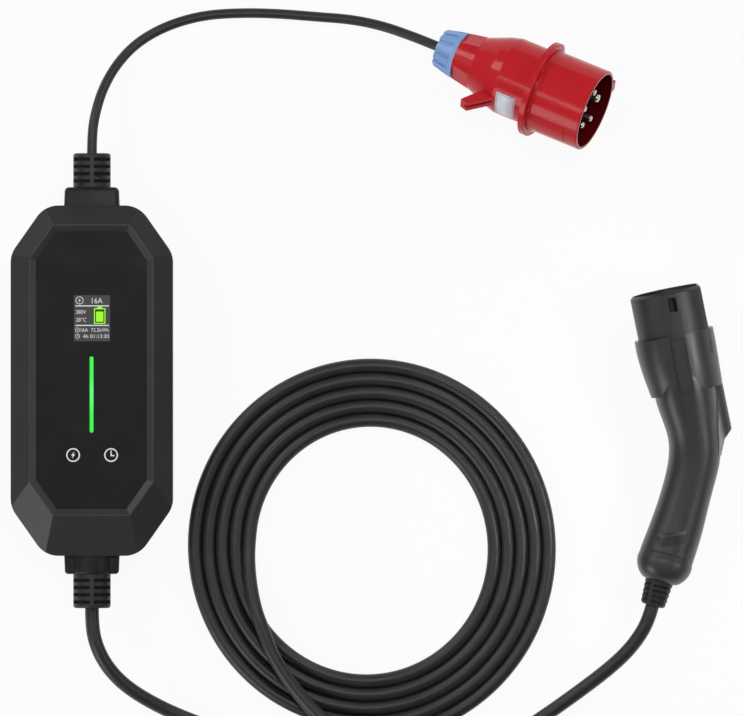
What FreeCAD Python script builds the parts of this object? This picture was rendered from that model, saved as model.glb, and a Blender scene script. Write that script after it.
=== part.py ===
import FreeCAD, Part
import math
import os

# A portable three-phase charger for electric cars: a control box between a five-pin industrial plug
# on a short supply cord and a vehicle connector on a long cord that lies in a flat coil.
# The set lies on its back on a floor, at z = 0. Lengths are in millimetres and angles in degrees.
# The origin is under the middle of the control box, x runs across the box and y along it.

V = FreeCAD.Vector

# How far a cutting body reaches past the face it cuts
OVER = 1.0

# Control box: outline, bevels and walls
BOX_WIDTH = 123.0
BOX_LENGTH = 266.0
BOX_DEPTH = 60.0
BOX_CORNER_X = 26.0
BOX_CORNER_Y = 37.0
BOX_CORNER_RADIUS = 20.0
BACK_EDGE_RADIUS = 5.0
WALL = 3.0
SEAM_CHAMFER = 0.6
BEVEL_HEIGHT = 12.0
INNER_BEVEL_DROP = 1.0
RIM_WIDTH = 94.6
RIM_LENGTH = 221.0
RIM_CORNER_X = 18.0
RIM_OFFSET_Y = 8.0
RIM_LAND = 0.8
SLIP = 0.15

# Front panel, display, light bar and touch keys
PANEL_BEVEL = 5.4
PANEL_DROP = 2.0
PANEL_THICKNESS = 2.0
LEDGE_THICKNESS = 2.5
DISPLAY_WIDTH = 27.8
DISPLAY_LENGTH = 35.0
DISPLAY_Y = 47.4
DISPLAY_THICKNESS = 2.5
DISPLAY_BORDER = 3.0
LIGHT_WIDTH = 3.2
LIGHT_LENGTH = 57.5
LIGHT_Y = -10.5
LIGHT_FLANGE = 2.0
LIGHT_FLANGE_THICKNESS = 1.5
LED_COUNT = 6
LED_SIZE = 2.0
LED_HEIGHT = 0.9
KEY_X = 14.5
KEY_Y = -56.4
KEY_PAD_RADIUS = 4.0

# Boards, parts on the boards and screws
BOARD_THICKNESS = 1.6
MAIN_BOARD_SIDE_GAP = 17.5
MAIN_BOARD_END_GAP = 43.0
STANDOFF_HEIGHT = 7.0
STANDOFF_RADIUS = 3.5
STANDOFF_INSET = 6.0
DISPLAY_BOARD_SIDE_GAP = 19.3
DISPLAY_BOARD_END_GAP = 36.5
DISPLAY_BOARD_Y = 2.0
POST_RADIUS = 3.0
POST_INSET = 5.0
RELAY_COUNT = 4
RELAY_PITCH = 17.0
RELAY_WIDTH = 13.0
RELAY_LENGTH = 29.0
RELAY_HEIGHT = 20.6
RELAY_CHAMFER = 0.8
RELAY_Y = -22.0
SENSOR_HOLE_RADIUS = 8.0
SENSOR_DEPTH = 12.0
SENSOR_X = 20.0
SENSOR_Y = 30.0
SENSOR_FOOT_HEIGHT = 4.0
SENSOR_FOOT_WIDTH = 18.0
SENSOR_HEADROOM = 3.8
SUPPLY_MODULE_WIDTH = 34.0
SUPPLY_MODULE_LENGTH = 24.0
SUPPLY_MODULE_HEIGHT = 18.0
SUPPLY_MODULE_RADIUS = 1.0
SUPPLY_MODULE_X = -20.0
LINK_WIDTH = 16.0
LINK_THICKNESS = 1.2
LINK_SOCKET_MARGIN = 2.0
LINK_SOCKET_DEPTH = 5.0
LINK_SOCKET_HEIGHT = 4.0
LINK_Y = -50.0
TERMINAL_PITCH = 8.0
TERMINAL_DEPTH = 14.0
TERMINAL_HEIGHT = 16.0
TERMINAL_HOLE_HEIGHT = 7.0
TERMINAL_HOLE_DEPTH = 9.8
TERMINAL_SCREW_SINK = 3.0
TERMINAL_SCREW_HEIGHT = 2.0
TERMINAL_SETBACK = 53.0
INPUT_WAYS = 5
OUTPUT_WAYS = 7
COVER_SCREW_RADIUS = 1.9
COVER_SCREW_HOLD = 7.0
COVER_BOSS_RADIUS = 4.6
COVER_BOSS_SIDE_GAP = 15.5
COVER_BOSS_END_GAP = 35.0
COVER_BOSS_MIDDLE_GAP = 9.5
SCREW_SINK = 5.0
SMALL_SCREW_RADIUS = 1.3
SMALL_SCREW_LENGTH = 5.0
SCREW_SPARE = 2.0
SEAL_WIDTH = 1.4
SEAL_DEPTH = 1.4
SEAL_END_GAP = 1.5

# Screws: these sizes are shares of a screw's radius or of its head's height
SCREW_HEAD = 2.0
SCREW_HEAD_HEIGHT = 1.2
SCREW_HEAD_CHAMFER = 0.4
SCREW_SLOT_WIDTH = 0.5
SCREW_SLOT_DEPTH = 0.6

# Glands at the two ends of the box
COLLAR_ROOT_RADIUS = 21.4
COLLAR_TIP_RADIUS = 20.6
COLLAR_LENGTH = 14.0
COLLAR_EDGE_RADIUS = 2.5
COLLAR_NECK_RADIUS = 15.0
COLLAR_LIP_RADIUS = 16.8
COLLAR_LIP_THICKNESS = 2.5
COLLAR_LUG = 2.0
COLLAR_LUG_WIDTH = 8.0
COLLAR_LUG_LENGTH = 8.4
COLLAR_GROOVE = 1.2
RELIEF_RADIUS = 14.2
RELIEF_LENGTH = 25.8
RELIEF_EDGE_RADIUS = 2.0
RELIEF_ROOT_RADIUS = 12.0
RELIEF_LIP_THICKNESS = 3.0
RELIEF_SLOT_ROWS = 4
RELIEF_SLOT_WIDTH = 2.6
RELIEF_SLOT_PITCH = 5.5
RELIEF_SLOT_DEPTH = 2.6
RELIEF_RIB_WIDTH = 3.0
CLAMP_WIDTH = 32.0
CLAMP_LENGTH = 7.0
CLAMP_BAR_HEIGHT = 4.0
CLAMP_SETBACK = 19.0
CLAMP_SCREW_X = 11.0
SHEATH_SETBACK = 27.0

# Cords
SUPPLY_CORD_RADIUS = 3.75
CHARGE_CORD_RADIUS = 5.3
SUPPLY_WIRE_RADIUS = 1.1
CHARGE_WIRE_RADIUS = 1.5
SIGNAL_WIRE_RADIUS = 0.7
WIRE_GAP = 0.2
WIRE_STRAIGHT = 5.0
WIRE_ENTRY = 6.0
CORD_STRAIGHT = 15.0
COIL_CENTRE_X = 210.1
COIL_CENTRE_Y = -126.8
COIL_RADIUS_X = 140.6
COIL_RADIUS_Y = 144.1
COIL_PITCH = 10.7
COIL_STRANDS = 5

# Plug: lengths run from the back of its nut, angles turn from its upper side
PLUG_X = 265.2
PLUG_Y = 253.2
PLUG_YAW = -22.5
PLUG_NUT_BACK_RADIUS = 14.6
PLUG_NUT_RADIUS = 18.2
PLUG_NUT_LENGTH = 17.0
PLUG_NUT_RIM = 2.5
PLUG_NUT_FLUTES = 12
PLUG_NUT_FLUTE_WIDTH = 3.4
PLUG_NUT_FLUTE_DEPTH = 1.4
PLUG_THREAD_RADIUS = 12.8
PLUG_THREAD_START = 7.0
PLUG_SEAL_RADIUS = 10.0
PLUG_NECK_RADIUS = 18.4
PLUG_NECK_END = 33.0
PLUG_NECK_END_RADIUS = 21.2
PLUG_NECK_FLATS = 3
PLUG_NECK_FLAT_DEPTH = 2.4
PLUG_NECK_FLAT_ANGLE = 60.0
PLUG_SHOULDER = 50.0
PLUG_SHOULDER_RADIUS = 28.1
PLUG_SHOULDER_ROUNDING = 4.0
PLUG_BARREL = 58.0
PLUG_BODY_RADIUS = 30.2
PLUG_FLANGE = 84.0
PLUG_FLANGE_THICKNESS = 5.0
PLUG_FLANGE_RADIUS = 37.5
PLUG_FLANGE_EDGE = 1.2
PLUG_FLANGE_FLAT = 33.6
PLUG_FLANGE_FLAT_ANGLE = -117.0
PLUG_LENGTH = 131.0
PLUG_SHROUD_RADIUS = 32.0
PLUG_SHROUD_FOOT = 1.4
PLUG_SHROUD_FOOT_LENGTH = 2.5
PLUG_SHROUD_EDGE = 0.8
PLUG_WALL = 2.6
PLUG_CARRIER_THICKNESS = 12.0
PLUG_CARRIER_STEM_RADIUS = 21.0
PLUG_CARRIER_STEM = 26.0
PLUG_PIN_COUNT = 5
PLUG_PIN_CIRCLE_RADIUS = 14.0
PLUG_PIN_RADIUS = 2.5
PLUG_EARTH_RADIUS = 3.5
PLUG_PIN_TIP = 0.6
PLUG_PIN_STEP = 0.6
PLUG_PIN_ROOT = 40.0
PLUG_PIN_RECESS = 3.0
PLUG_KEY_ANGLE = -136.0
PLUG_KEY_WIDTH = 9.0
PLUG_KEY_HEIGHT = 3.8
PLUG_KEY_EDGE = 1.2
PLUG_LUG_ANGLE = 50.0
PLUG_LUG_WIDTH = 8.4
PLUG_LUG_OUTLINE = ((26.0, 49.0), (43.5, 38.5), (45.5, 44.5), (29.0, 60.0))
PLUG_LUG_SLOT_WIDTH = 2.4
PLUG_LUG_SLOT_DEPTH = 3.0
PLUG_PLATE_ANGLE = 57.0
PLUG_PLATE_WIDTH = 15.0
PLUG_PLATE_LENGTH = 27.0
PLUG_PLATE_HEIGHT = 0.6
PLUG_PLATE_SETBACK = 4.0

# Vehicle connector: the nose runs along its own +y, the flat of the nose faces its +x
CONNECTOR_X = 441.8
CONNECTOR_Y = 35.2
CONNECTOR_YAW = 11.4
CONNECTOR_TILT = 3.2
CONNECTOR_HEIGHT = 32.1
NOSE_RADIUS = 29.5
NOSE_FLAT = 24.4
NOSE_OFFSET_X = 2.5
NOSE_LENGTH = 33.8
NOSE_WALL = 2.6
NOSE_CHAMFER = 2.0
NOSE_ROOT = 18.0
CARRIER_THICKNESS = 8.0
CARRIER_RECESS = 4.5
POWER_SOCKET_RADIUS = 3.0
SIGNAL_SOCKET_RADIUS = 1.5
SOCKET_WALL = 1.0
SOCKET_TUBE_WALL = 2.2
SOCKET_RECESS = 1.0
SOCKET_TAIL = 4.0
SOCKET_ROW = 15.5
SOCKET_PITCH = 16.0
SIGNAL_ROW = 12.5
SIGNAL_PITCH = 15.0
LOCK_WINDOW_WIDTH = 6.0
LOCK_WINDOW_LENGTH = 10.8
LOCK_WINDOW_X = 3.5
LOCK_WINDOW_Y = 18.2
SHELL_WALL = 3.0
TONGUE_WIDTH = 9.8
TONGUE_X = 1.4
TONGUE_START = 2.8
TONGUE_END = 44.5
TONGUE_GAP = 0.8
TONGUE_TOP = 31.9
TONGUE_DEPTH = 1.4
TONGUE_SLOPE = 3.6
CONNECTOR_SCREW_RADIUS = 1.6
CONNECTOR_SCREW_HEAD_GAP = 0.15
CONNECTOR_SCREW_SEAT = 9.0
CONNECTOR_SCREW_HOLD = 9.0
CONNECTOR_BOSS_RADIUS = 4.2
CAP_LENGTH = 17.5
CAP_TIP_RADIUS = 13.0
CAP_BARREL = 0.6
CAP_SHOULDER = 4.0
CAP_SHOULDER_LENGTH = 3.0
CONNECTOR_RELIEF_ROOT_RADIUS = 10.8
CONNECTOR_RELIEF_TIP_RADIUS = 9.6
CONNECTOR_RELIEF_NECK_RADIUS = 8.8
CONNECTOR_RELIEF_LENGTH = 19.5
CONNECTOR_RELIEF_EDGE = 1.5
CONNECTOR_RELIEF_LIP = 3.0
CONNECTOR_SLOT_ROWS = 4
CONNECTOR_SLOT_START = 3.0
CONNECTOR_SLOT_PITCH = 4.0
CONNECTOR_SLOT_WIDTH = 1.9
CONNECTOR_SLOT_DEPTH = 2.4


def block(x0, x1, y0, y1, z0, z1):
    """A box between two corners."""
    return Part.makeBox(x1 - x0, y1 - y0, z1 - z0, V(x0, y0, z0))


def rod(start, direction, radius, length):
    """A round bar from a point along a direction."""
    return Part.makeCylinder(radius, length, start, direction)


def prism(points, z0, z1):
    """A flat outline of x and y points, raised from z0 to z1."""
    corners = [V(x, y, z0) for x, y in points]
    face = Part.Face(Part.makePolygon(corners + corners[:1]))
    return face.extrude(V(0, 0, z1 - z0))


def turned(profile):
    """A solid turned about z from a closed outline of radius and height."""
    corners = [V(radius, 0, height) for radius, height in profile]
    face = Part.Face(Part.makePolygon(corners + corners[:1]))
    return face.revolve(V(0, 0, 0), V(0, 0, 1), 360)


def stadium(width, length, x, y, z0, z1):
    """A bar with round ends, its length along y."""
    half = length / 2 - width / 2
    middle = block(x - width / 2, x + width / 2, y - half, y + half, z0, z1)
    for end in (y - half, y + half):
        middle = middle.fuse(Part.makeCylinder(width / 2, z1 - z0, V(x, end, z0)))
    return middle.removeSplitter()


def octagon(width, length, corner_x, corner_y, offset_y=0.0, inset=0.0):
    """A rectangle with its corners cut off, drawn in by the same inset on all eight sides."""
    x = width / 2 - inset
    y = length / 2 - inset
    slant = math.hypot(corner_x, corner_y)
    cut_x = corner_x - inset * (1 + corner_x / corner_y - slant / corner_y)
    cut_y = cut_x * corner_y / corner_x
    quarter = [(x, y - cut_y), (x - cut_x, y)]
    left = [(-px, py) for px, py in reversed(quarter)]
    lower = [(-px, -py) for px, py in quarter] + [(-px, -py) for px, py in left]
    return [(px, py + offset_y) for px, py in quarter + left + lower]


def frustum(lower, z0, upper, z1):
    """A solid with flat sides between two outlines whose edges are parallel."""
    bottom = [V(x, y, z0) for x, y in lower]
    top = [V(x, y, z1) for x, y in upper]
    faces = [Part.Face(Part.makePolygon(bottom + bottom[:1])), Part.Face(Part.makePolygon(top + top[:1]))]
    for i in range(len(bottom)):
        j = (i + 1) % len(bottom)
        faces.append(Part.Face(Part.makePolygon([bottom[i], bottom[j], top[j], top[i], bottom[i]])))
    return Part.Solid(Part.Shell(faces))


def box_outline(inset=0.0):
    """The outline of the control box."""
    return octagon(BOX_WIDTH, BOX_LENGTH, BOX_CORNER_X, BOX_CORNER_Y, 0.0, inset)


def rim_outline(inset=0.0):
    """The outline of the raised rim round the front panel."""
    corner_y = RIM_CORNER_X * BOX_CORNER_Y / BOX_CORNER_X
    return octagon(RIM_WIDTH, RIM_LENGTH, RIM_CORNER_X, corner_y, RIM_OFFSET_Y, inset)


def rounded_box(inset, z0, z1):
    """The upright walls of the box with their eight corners rounded."""
    solid = prism(box_outline(inset), z0, z1)
    upright = [e for e in solid.Edges if abs(e.tangentAt(e.FirstParameter).z) > 0.9]
    return solid.makeFillet(BOX_CORNER_RADIUS - inset, upright)


def arc_path(points):
    """Straight runs joined by tangent arcs that are as large as the runs allow."""
    edges = []
    radii = []
    last = points[0]
    for i in range(1, len(points) - 1):
        before = points[i] - points[i - 1]
        after = points[i + 1] - points[i]
        reach = 0.45 * min(before.Length, after.Length)
        a = V(before).normalize()
        b = V(after).normalize()
        half_turn = a.getAngle(b) / 2
        radius = reach / math.tan(half_turn)
        inward = (b - a).normalize()
        start = points[i] - a * reach
        end = points[i] + b * reach
        middle = points[i] + inward * (radius / math.cos(half_turn) - radius)
        edges.append(Part.LineSegment(last, start).toShape())
        edges.append(Part.Arc(start, middle, end).toShape())
        radii.append(radius)
        last = end
    edges.append(Part.LineSegment(last, points[-1]).toShape())
    return Part.Wire(edges), radii


def tube(points, radius, name=""):
    """A round tube along a path; a named one prints its bends and its volume."""
    path, radii = arc_path(points)
    profile = Part.Wire([Part.makeCircle(radius, points[0], points[1] - points[0])])
    solid = path.makePipeShell([profile], True, False)
    if name:
        expected = math.pi * radius ** 2 * path.Length
        print(name, "length %.0f" % path.Length, "volume ratio %.4f" % (solid.Volume / expected))
        print("  radii", " ".join("%.0f" % r for r in radii), "least %.1f" % min(radii))
    return solid


# Levels and places in the box that several pieces share
SEAM_HEIGHT = BOX_DEPTH / 2
GLAND_HEIGHT = SEAM_HEIGHT
SHOULDER_HEIGHT = BOX_DEPTH - BEVEL_HEIGHT
PANEL_TOP = BOX_DEPTH - PANEL_DROP
PANEL_BACK = PANEL_TOP - PANEL_THICKNESS
LEDGE_BACK = PANEL_BACK - LEDGE_THICKNESS
DISPLAY_BOARD_TOP = LEDGE_BACK - DISPLAY_THICKNESS
DISPLAY_BOARD_BACK = DISPLAY_BOARD_TOP - BOARD_THICKNESS
MAIN_BOARD_BACK = WALL + STANDOFF_HEIGHT
MAIN_BOARD_TOP = MAIN_BOARD_BACK + BOARD_THICKNESS
MAIN_BOARD_WIDTH = BOX_WIDTH - 2 * MAIN_BOARD_SIDE_GAP
MAIN_BOARD_LENGTH = BOX_LENGTH - 2 * MAIN_BOARD_END_GAP
DISPLAY_BOARD_WIDTH = RIM_WIDTH - 2 * DISPLAY_BOARD_SIDE_GAP
DISPLAY_BOARD_LENGTH = RIM_LENGTH - 2 * DISPLAY_BOARD_END_GAP
SENSOR_RADIUS = (DISPLAY_BOARD_BACK - MAIN_BOARD_TOP - SENSOR_FOOT_HEIGHT - SENSOR_HEADROOM) / 2
COVER_SCREW_LENGTH = SEAM_HEIGHT - SCREW_SINK + COVER_SCREW_HOLD
BOX_END = BOX_LENGTH / 2
TERMINAL_END_Y = BOX_END - TERMINAL_SETBACK
CLAMP_Y = BOX_END - CLAMP_SETBACK
SHEATH_END_Y = BOX_END - SHEATH_SETBACK
COLLAR_END = BOX_END + COLLAR_LENGTH
RELIEF_END = COLLAR_END + RELIEF_LENGTH
COLLAR_INNER_END = BOX_END - WALL - COLLAR_LIP_THICKNESS
RELIEF_INNER_END = COLLAR_INNER_END - RELIEF_LIP_THICKNESS


def cover_screw_places():
    """The six screws that hold the covers together."""
    x = BOX_WIDTH / 2 - COVER_BOSS_SIDE_GAP
    y = BOX_END - COVER_BOSS_END_GAP
    middle = BOX_WIDTH / 2 - COVER_BOSS_MIDDLE_GAP
    return [(-x, -y), (-x, y), (x, -y), (x, y), (-middle, 0.0), (middle, 0.0)]


def standoff_places():
    """The four screws of the main board."""
    x = MAIN_BOARD_WIDTH / 2 - STANDOFF_INSET
    y = MAIN_BOARD_LENGTH / 2 - STANDOFF_INSET
    return [(sx, sy) for sx in (-x, x) for sy in (-y, y)]


def post_places():
    """The four screws of the display board."""
    x = DISPLAY_BOARD_WIDTH / 2 - POST_INSET
    y = DISPLAY_BOARD_LENGTH / 2 - POST_INSET
    return [(sx, sy + DISPLAY_BOARD_Y) for sx in (-x, x) for sy in (-y, y)]


def outer_form():
    """The whole outside of the control box, back edge rounded and front bevelled."""
    walls = rounded_box(0.0, 0.0, BOX_DEPTH)
    back = [e for e in walls.Edges if e.BoundBox.ZMax < 0.01]
    walls = walls.makeFillet(BACK_EDGE_RADIUS, back)
    lower = prism(box_outline(), 0.0, SHOULDER_HEIGHT)
    upper = frustum(box_outline(), SHOULDER_HEIGHT, rim_outline(), BOX_DEPTH)
    return walls.common(lower.fuse(upper))


def inner_form():
    """The hollow of the control box."""
    top = SHOULDER_HEIGHT - INNER_BEVEL_DROP
    straight = rounded_box(WALL, WALL, top)
    inner_rim = rim_outline(PANEL_BEVEL)
    bevel = frustum(box_outline(WALL), top, inner_rim, LEDGE_BACK)
    rounded = rounded_box(WALL, top, LEDGE_BACK)
    return straight.fuse(bevel.common(rounded))


def gland_hole(side):
    """What a gland takes out of both covers at one end."""
    start = V(0, side * (BOX_END - 2 * WALL), GLAND_HEIGHT)
    return rod(start, V(0, side, 0), COLLAR_NECK_RADIUS + SLIP, 3 * WALL)


def seal_ring(slip):
    """The ring between the covers, drawn out by a slip for its groove."""
    middle = WALL / 2
    outer = rounded_box(middle - SEAL_WIDTH / 2 - slip, SEAM_HEIGHT - SEAL_DEPTH - slip, SEAM_HEIGHT)
    inner = rounded_box(middle + SEAL_WIDTH / 2 + slip, SEAM_HEIGHT - 2 * SEAL_DEPTH, SEAM_HEIGHT + OVER)
    ring = outer.cut(inner)
    half = COLLAR_LIP_RADIUS + SEAL_END_GAP
    for side in (-1, 1):
        y = side * BOX_END
        ring = ring.cut(block(-half, half, y - 2 * WALL, y + 2 * WALL, 0, BOX_DEPTH))
    return ring


def cover_seal():
    """The rubber ring between the covers."""
    return seal_ring(0.0)


def seam_edge(solid):
    """Breaks the outer edge of a cover along the seam."""
    edges = []
    for edge in solid.Edges:
        box = edge.BoundBox
        level = abs(box.ZMin - SEAM_HEIGHT) < 0.01 and abs(box.ZMax - SEAM_HEIGHT) < 0.01
        centre = edge.CenterOfMass
        outside = not rounded_box(SEAM_CHAMFER, 0, BOX_DEPTH).isInside(centre, 0.01, True)
        if level and outside:
            edges.append(edge)
    return solid.makeChamfer(SEAM_CHAMFER, edges)


def clamp_block(y, z0, z1):
    """A bar across the box at a cord clamp."""
    half = CLAMP_LENGTH / 2
    return block(-CLAMP_WIDTH / 2, CLAMP_WIDTH / 2, y - half, y + half, z0, z1)


def rear_cover():
    """The back half: a tub with screw bosses, standoffs and the seats of the cord clamps."""
    below = block(-BOX_WIDTH, BOX_WIDTH, -BOX_LENGTH, BOX_LENGTH, -OVER, SEAM_HEIGHT)
    cover = outer_form().common(below)
    cover = seam_edge(cover)
    cover = cover.cut(inner_form())
    for x, y in cover_screw_places():
        cover = cover.fuse(Part.makeCylinder(COVER_BOSS_RADIUS, SEAM_HEIGHT, V(x, y, 0)))
    for x, y in standoff_places():
        cover = cover.fuse(Part.makeCylinder(STANDOFF_RADIUS, MAIN_BOARD_BACK - WALL / 2, V(x, y, WALL / 2)))
    for side, radius in ((1, SUPPLY_CORD_RADIUS), (-1, CHARGE_CORD_RADIUS)):
        y = side * CLAMP_Y
        seat = clamp_block(y, WALL / 2, GLAND_HEIGHT)
        cord = rod(V(0, y - CLAMP_LENGTH, GLAND_HEIGHT), V(0, 1, 0), radius, 2 * CLAMP_LENGTH)
        cover = cover.fuse(seat.cut(cord)).cut(gland_hole(side))
        for x in (-CLAMP_SCREW_X, CLAMP_SCREW_X):
            depth = SMALL_SCREW_LENGTH + SCREW_SPARE
            cover = cover.cut(rod(V(x, y, GLAND_HEIGHT), V(0, 0, -1), SMALL_SCREW_RADIUS + SLIP, depth))
    for x, y in cover_screw_places():
        head = Part.makeCylinder(SCREW_HEAD * COVER_SCREW_RADIUS + SLIP, SCREW_SINK, V(x, y, 0))
        shank = Part.makeCylinder(COVER_SCREW_RADIUS + SLIP, SEAM_HEIGHT, V(x, y, 0))
        cover = cover.cut(head).cut(shank)
    for x, y in standoff_places():
        hole = rod(V(x, y, MAIN_BOARD_BACK), V(0, 0, -1), SMALL_SCREW_RADIUS + SLIP, SMALL_SCREW_LENGTH)
        cover = cover.cut(hole)
    return cover.cut(seal_ring(SLIP)).removeSplitter()


def panel_pocket():
    """The recess of the front panel with the bevel that leads down to it."""
    seat = prism(rim_outline(PANEL_BEVEL - SLIP), PANEL_BACK, BOX_DEPTH)
    bevel = frustum(rim_outline(PANEL_BEVEL - SLIP), PANEL_TOP, rim_outline(RIM_LAND), BOX_DEPTH)
    return seat.fuse(bevel)


def display_block(gap, z0, z1):
    """The display's outline, drawn out by a gap."""
    half_x = DISPLAY_WIDTH / 2 + gap
    half_y = DISPLAY_LENGTH / 2 + gap
    return block(-half_x, half_x, DISPLAY_Y - half_y, DISPLAY_Y + half_y, z0, z1)


def light_bar(gap, z0, z1):
    """The light bar's outline, drawn out by a gap."""
    return stadium(LIGHT_WIDTH + 2 * gap, LIGHT_LENGTH + 2 * gap, 0, LIGHT_Y, z0, z1)


def front_cover():
    """The front half with its bevels, the panel's ledge, screw bosses and display posts."""
    above = block(-BOX_WIDTH, BOX_WIDTH, -BOX_LENGTH, BOX_LENGTH, SEAM_HEIGHT, BOX_DEPTH + OVER)
    shell = outer_form().common(above)
    body = seam_edge(shell)
    cover = body.cut(inner_form())
    for x, y in cover_screw_places():
        boss = Part.makeCylinder(COVER_BOSS_RADIUS, BOX_DEPTH, V(x, y, SEAM_HEIGHT)).common(shell)
        cover = cover.fuse(boss)
    for x, y in post_places():
        post = Part.makeCylinder(POST_RADIUS, PANEL_BACK - DISPLAY_BOARD_TOP, V(x, y, DISPLAY_BOARD_TOP))
        cover = cover.fuse(post)
    cover = cover.cut(panel_pocket())
    low = LEDGE_BACK - OVER
    cover = cover.cut(display_block(SLIP, low, PANEL_TOP)).cut(light_bar(SLIP, low, PANEL_TOP))
    for x in (-KEY_X, KEY_X):
        hole = Part.makeCylinder(KEY_PAD_RADIUS + SLIP, LEDGE_THICKNESS + 2 * OVER, V(x, KEY_Y, low))
        cover = cover.cut(hole)
    for x, y in cover_screw_places():
        depth = COVER_SCREW_HOLD + SCREW_SPARE
        cover = cover.cut(Part.makeCylinder(COVER_SCREW_RADIUS + SLIP, depth, V(x, y, SEAM_HEIGHT)))
    for x, y in post_places():
        depth = SMALL_SCREW_LENGTH - BOARD_THICKNESS + SLIP
        cover = cover.cut(Part.makeCylinder(SMALL_SCREW_RADIUS + SLIP, depth, V(x, y, DISPLAY_BOARD_TOP)))
    for side in (-1, 1):
        cover = cover.cut(gland_hole(side))
    return cover.removeSplitter()


def front_panel():
    """The dark glossy panel with the slot of the light bar."""
    panel = prism(rim_outline(PANEL_BEVEL), PANEL_BACK, PANEL_TOP)
    return panel.cut(light_bar(SLIP, PANEL_BACK - OVER, PANEL_TOP + OVER))


def light_guide():
    """The clear bar that carries light to the front, with the flange that holds it."""
    back = LEDGE_BACK - LIGHT_FLANGE_THICKNESS
    bar = light_bar(0.0, back, PANEL_TOP)
    return bar.fuse(light_bar(LIGHT_FLANGE, back, LEDGE_BACK)).removeSplitter()


def display_module():
    """The display: its glass stands in the window, its frame rests on the board."""
    glass = display_block(0.0, DISPLAY_BOARD_TOP, PANEL_BACK)
    tray = display_block(DISPLAY_BORDER, DISPLAY_BOARD_TOP, LEDGE_BACK)
    return glass.fuse(tray).removeSplitter()


def status_leds():
    """The row of lamps behind the light bar."""
    lamps = []
    step = LIGHT_LENGTH / LED_COUNT
    half = LED_SIZE / 2
    z = DISPLAY_BOARD_TOP
    for i in range(LED_COUNT):
        y = LIGHT_Y + (i - (LED_COUNT - 1) / 2) * step
        lamps.append(block(-half, half, y - half, y + half, z, z + LED_HEIGHT))
    return Part.makeCompound(lamps)


def touch_pads():
    """The two sprung pads that feel a finger through the panel."""
    height = PANEL_BACK - DISPLAY_BOARD_TOP
    places = [V(x, KEY_Y, DISPLAY_BOARD_TOP) for x in (-KEY_X, KEY_X)]
    return Part.makeCompound([Part.makeCylinder(KEY_PAD_RADIUS, height, place) for place in places])


def board(width, length, y, z, places):
    """A circuit board with its screw holes."""
    plate = block(-width / 2, width / 2, y - length / 2, y + length / 2, z, z + BOARD_THICKNESS)
    for px, py in places:
        hole = Part.makeCylinder(SMALL_SCREW_RADIUS + SLIP, BOARD_THICKNESS + 2 * OVER, V(px, py, z - OVER))
        plate = plate.cut(hole)
    return plate


def display_board():
    """The board behind the front panel."""
    places = post_places()
    return board(DISPLAY_BOARD_WIDTH, DISPLAY_BOARD_LENGTH, DISPLAY_BOARD_Y, DISPLAY_BOARD_BACK, places)


def main_board():
    """The power board on the back cover's standoffs."""
    return board(MAIN_BOARD_WIDTH, MAIN_BOARD_LENGTH, 0.0, MAIN_BOARD_BACK, standoff_places())


def screw(place, direction, radius, length):
    """A screw from the seat of its head, with a cross slot in a low round head."""
    head_height = SCREW_HEAD_HEIGHT * radius
    back = V(direction) * -1
    head = rod(place, back, SCREW_HEAD * radius, head_height)
    rim = [e for e in head.Edges if abs((e.CenterOfMass - place).dot(back) - head_height) < 0.01]
    head = head.makeChamfer(SCREW_HEAD_CHAMFER * head_height, rim)
    top = place + back * head_height
    side = V(1, 0, 0) if abs(direction.x) < 0.5 else V(0, 1, 0)
    for way in (side, direction.cross(side)):
        across = direction.cross(way) * (SCREW_SLOT_WIDTH * radius)
        corner = top - way * radius - across / 2
        far = corner + way * (2 * radius)
        slot = Part.Face(Part.makePolygon([corner, far, far + across, corner + across, corner]))
        head = head.cut(slot.extrude(V(direction) * (SCREW_SLOT_DEPTH * head_height)))
    return head.fuse(rod(place, direction, radius, length))


def cover_screws():
    """Six screws, put in from the back."""
    up = V(0, 0, 1)
    places = [V(x, y, SCREW_SINK) for x, y in cover_screw_places()]
    return Part.makeCompound([screw(p, up, COVER_SCREW_RADIUS, COVER_SCREW_LENGTH) for p in places])


def board_screws():
    """The screws of both boards."""
    lower = [(V(x, y, MAIN_BOARD_TOP), V(0, 0, -1)) for x, y in standoff_places()]
    upper = [(V(x, y, DISPLAY_BOARD_BACK), V(0, 0, 1)) for x, y in post_places()]
    screws = [screw(place, way, SMALL_SCREW_RADIUS, SMALL_SCREW_LENGTH) for place, way in lower + upper]
    return Part.makeCompound(screws)


def relays():
    """One relay for each pole that the charger switches."""
    cases = []
    for i in range(RELAY_COUNT):
        x = (i - (RELAY_COUNT - 1) / 2) * RELAY_PITCH
        half = RELAY_WIDTH / 2
        y0 = RELAY_Y - RELAY_LENGTH / 2
        case = block(x - half, x + half, y0, y0 + RELAY_LENGTH, MAIN_BOARD_TOP, MAIN_BOARD_TOP + RELAY_HEIGHT)
        top = [e for e in case.Edges if e.BoundBox.ZMin > MAIN_BOARD_TOP + RELAY_HEIGHT - 0.01]
        cases.append(case.makeChamfer(RELAY_CHAMFER, top))
    return Part.makeCompound(cases)


def current_sensor():
    """The ring that senses a fault current, upright on its foot."""
    y0 = SENSOR_Y - SENSOR_DEPTH / 2
    z = MAIN_BOARD_TOP + SENSOR_FOOT_HEIGHT + SENSOR_RADIUS
    ring = rod(V(SENSOR_X, y0, z), V(0, 1, 0), SENSOR_RADIUS, SENSOR_DEPTH)
    half = SENSOR_FOOT_WIDTH / 2
    foot = block(SENSOR_X - half, SENSOR_X + half, y0, y0 + SENSOR_DEPTH, MAIN_BOARD_TOP, z)
    hole = rod(V(SENSOR_X, y0 - OVER, z), V(0, 1, 0), SENSOR_HOLE_RADIUS, SENSOR_DEPTH + 2 * OVER)
    return ring.fuse(foot).cut(hole).removeSplitter()


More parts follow.
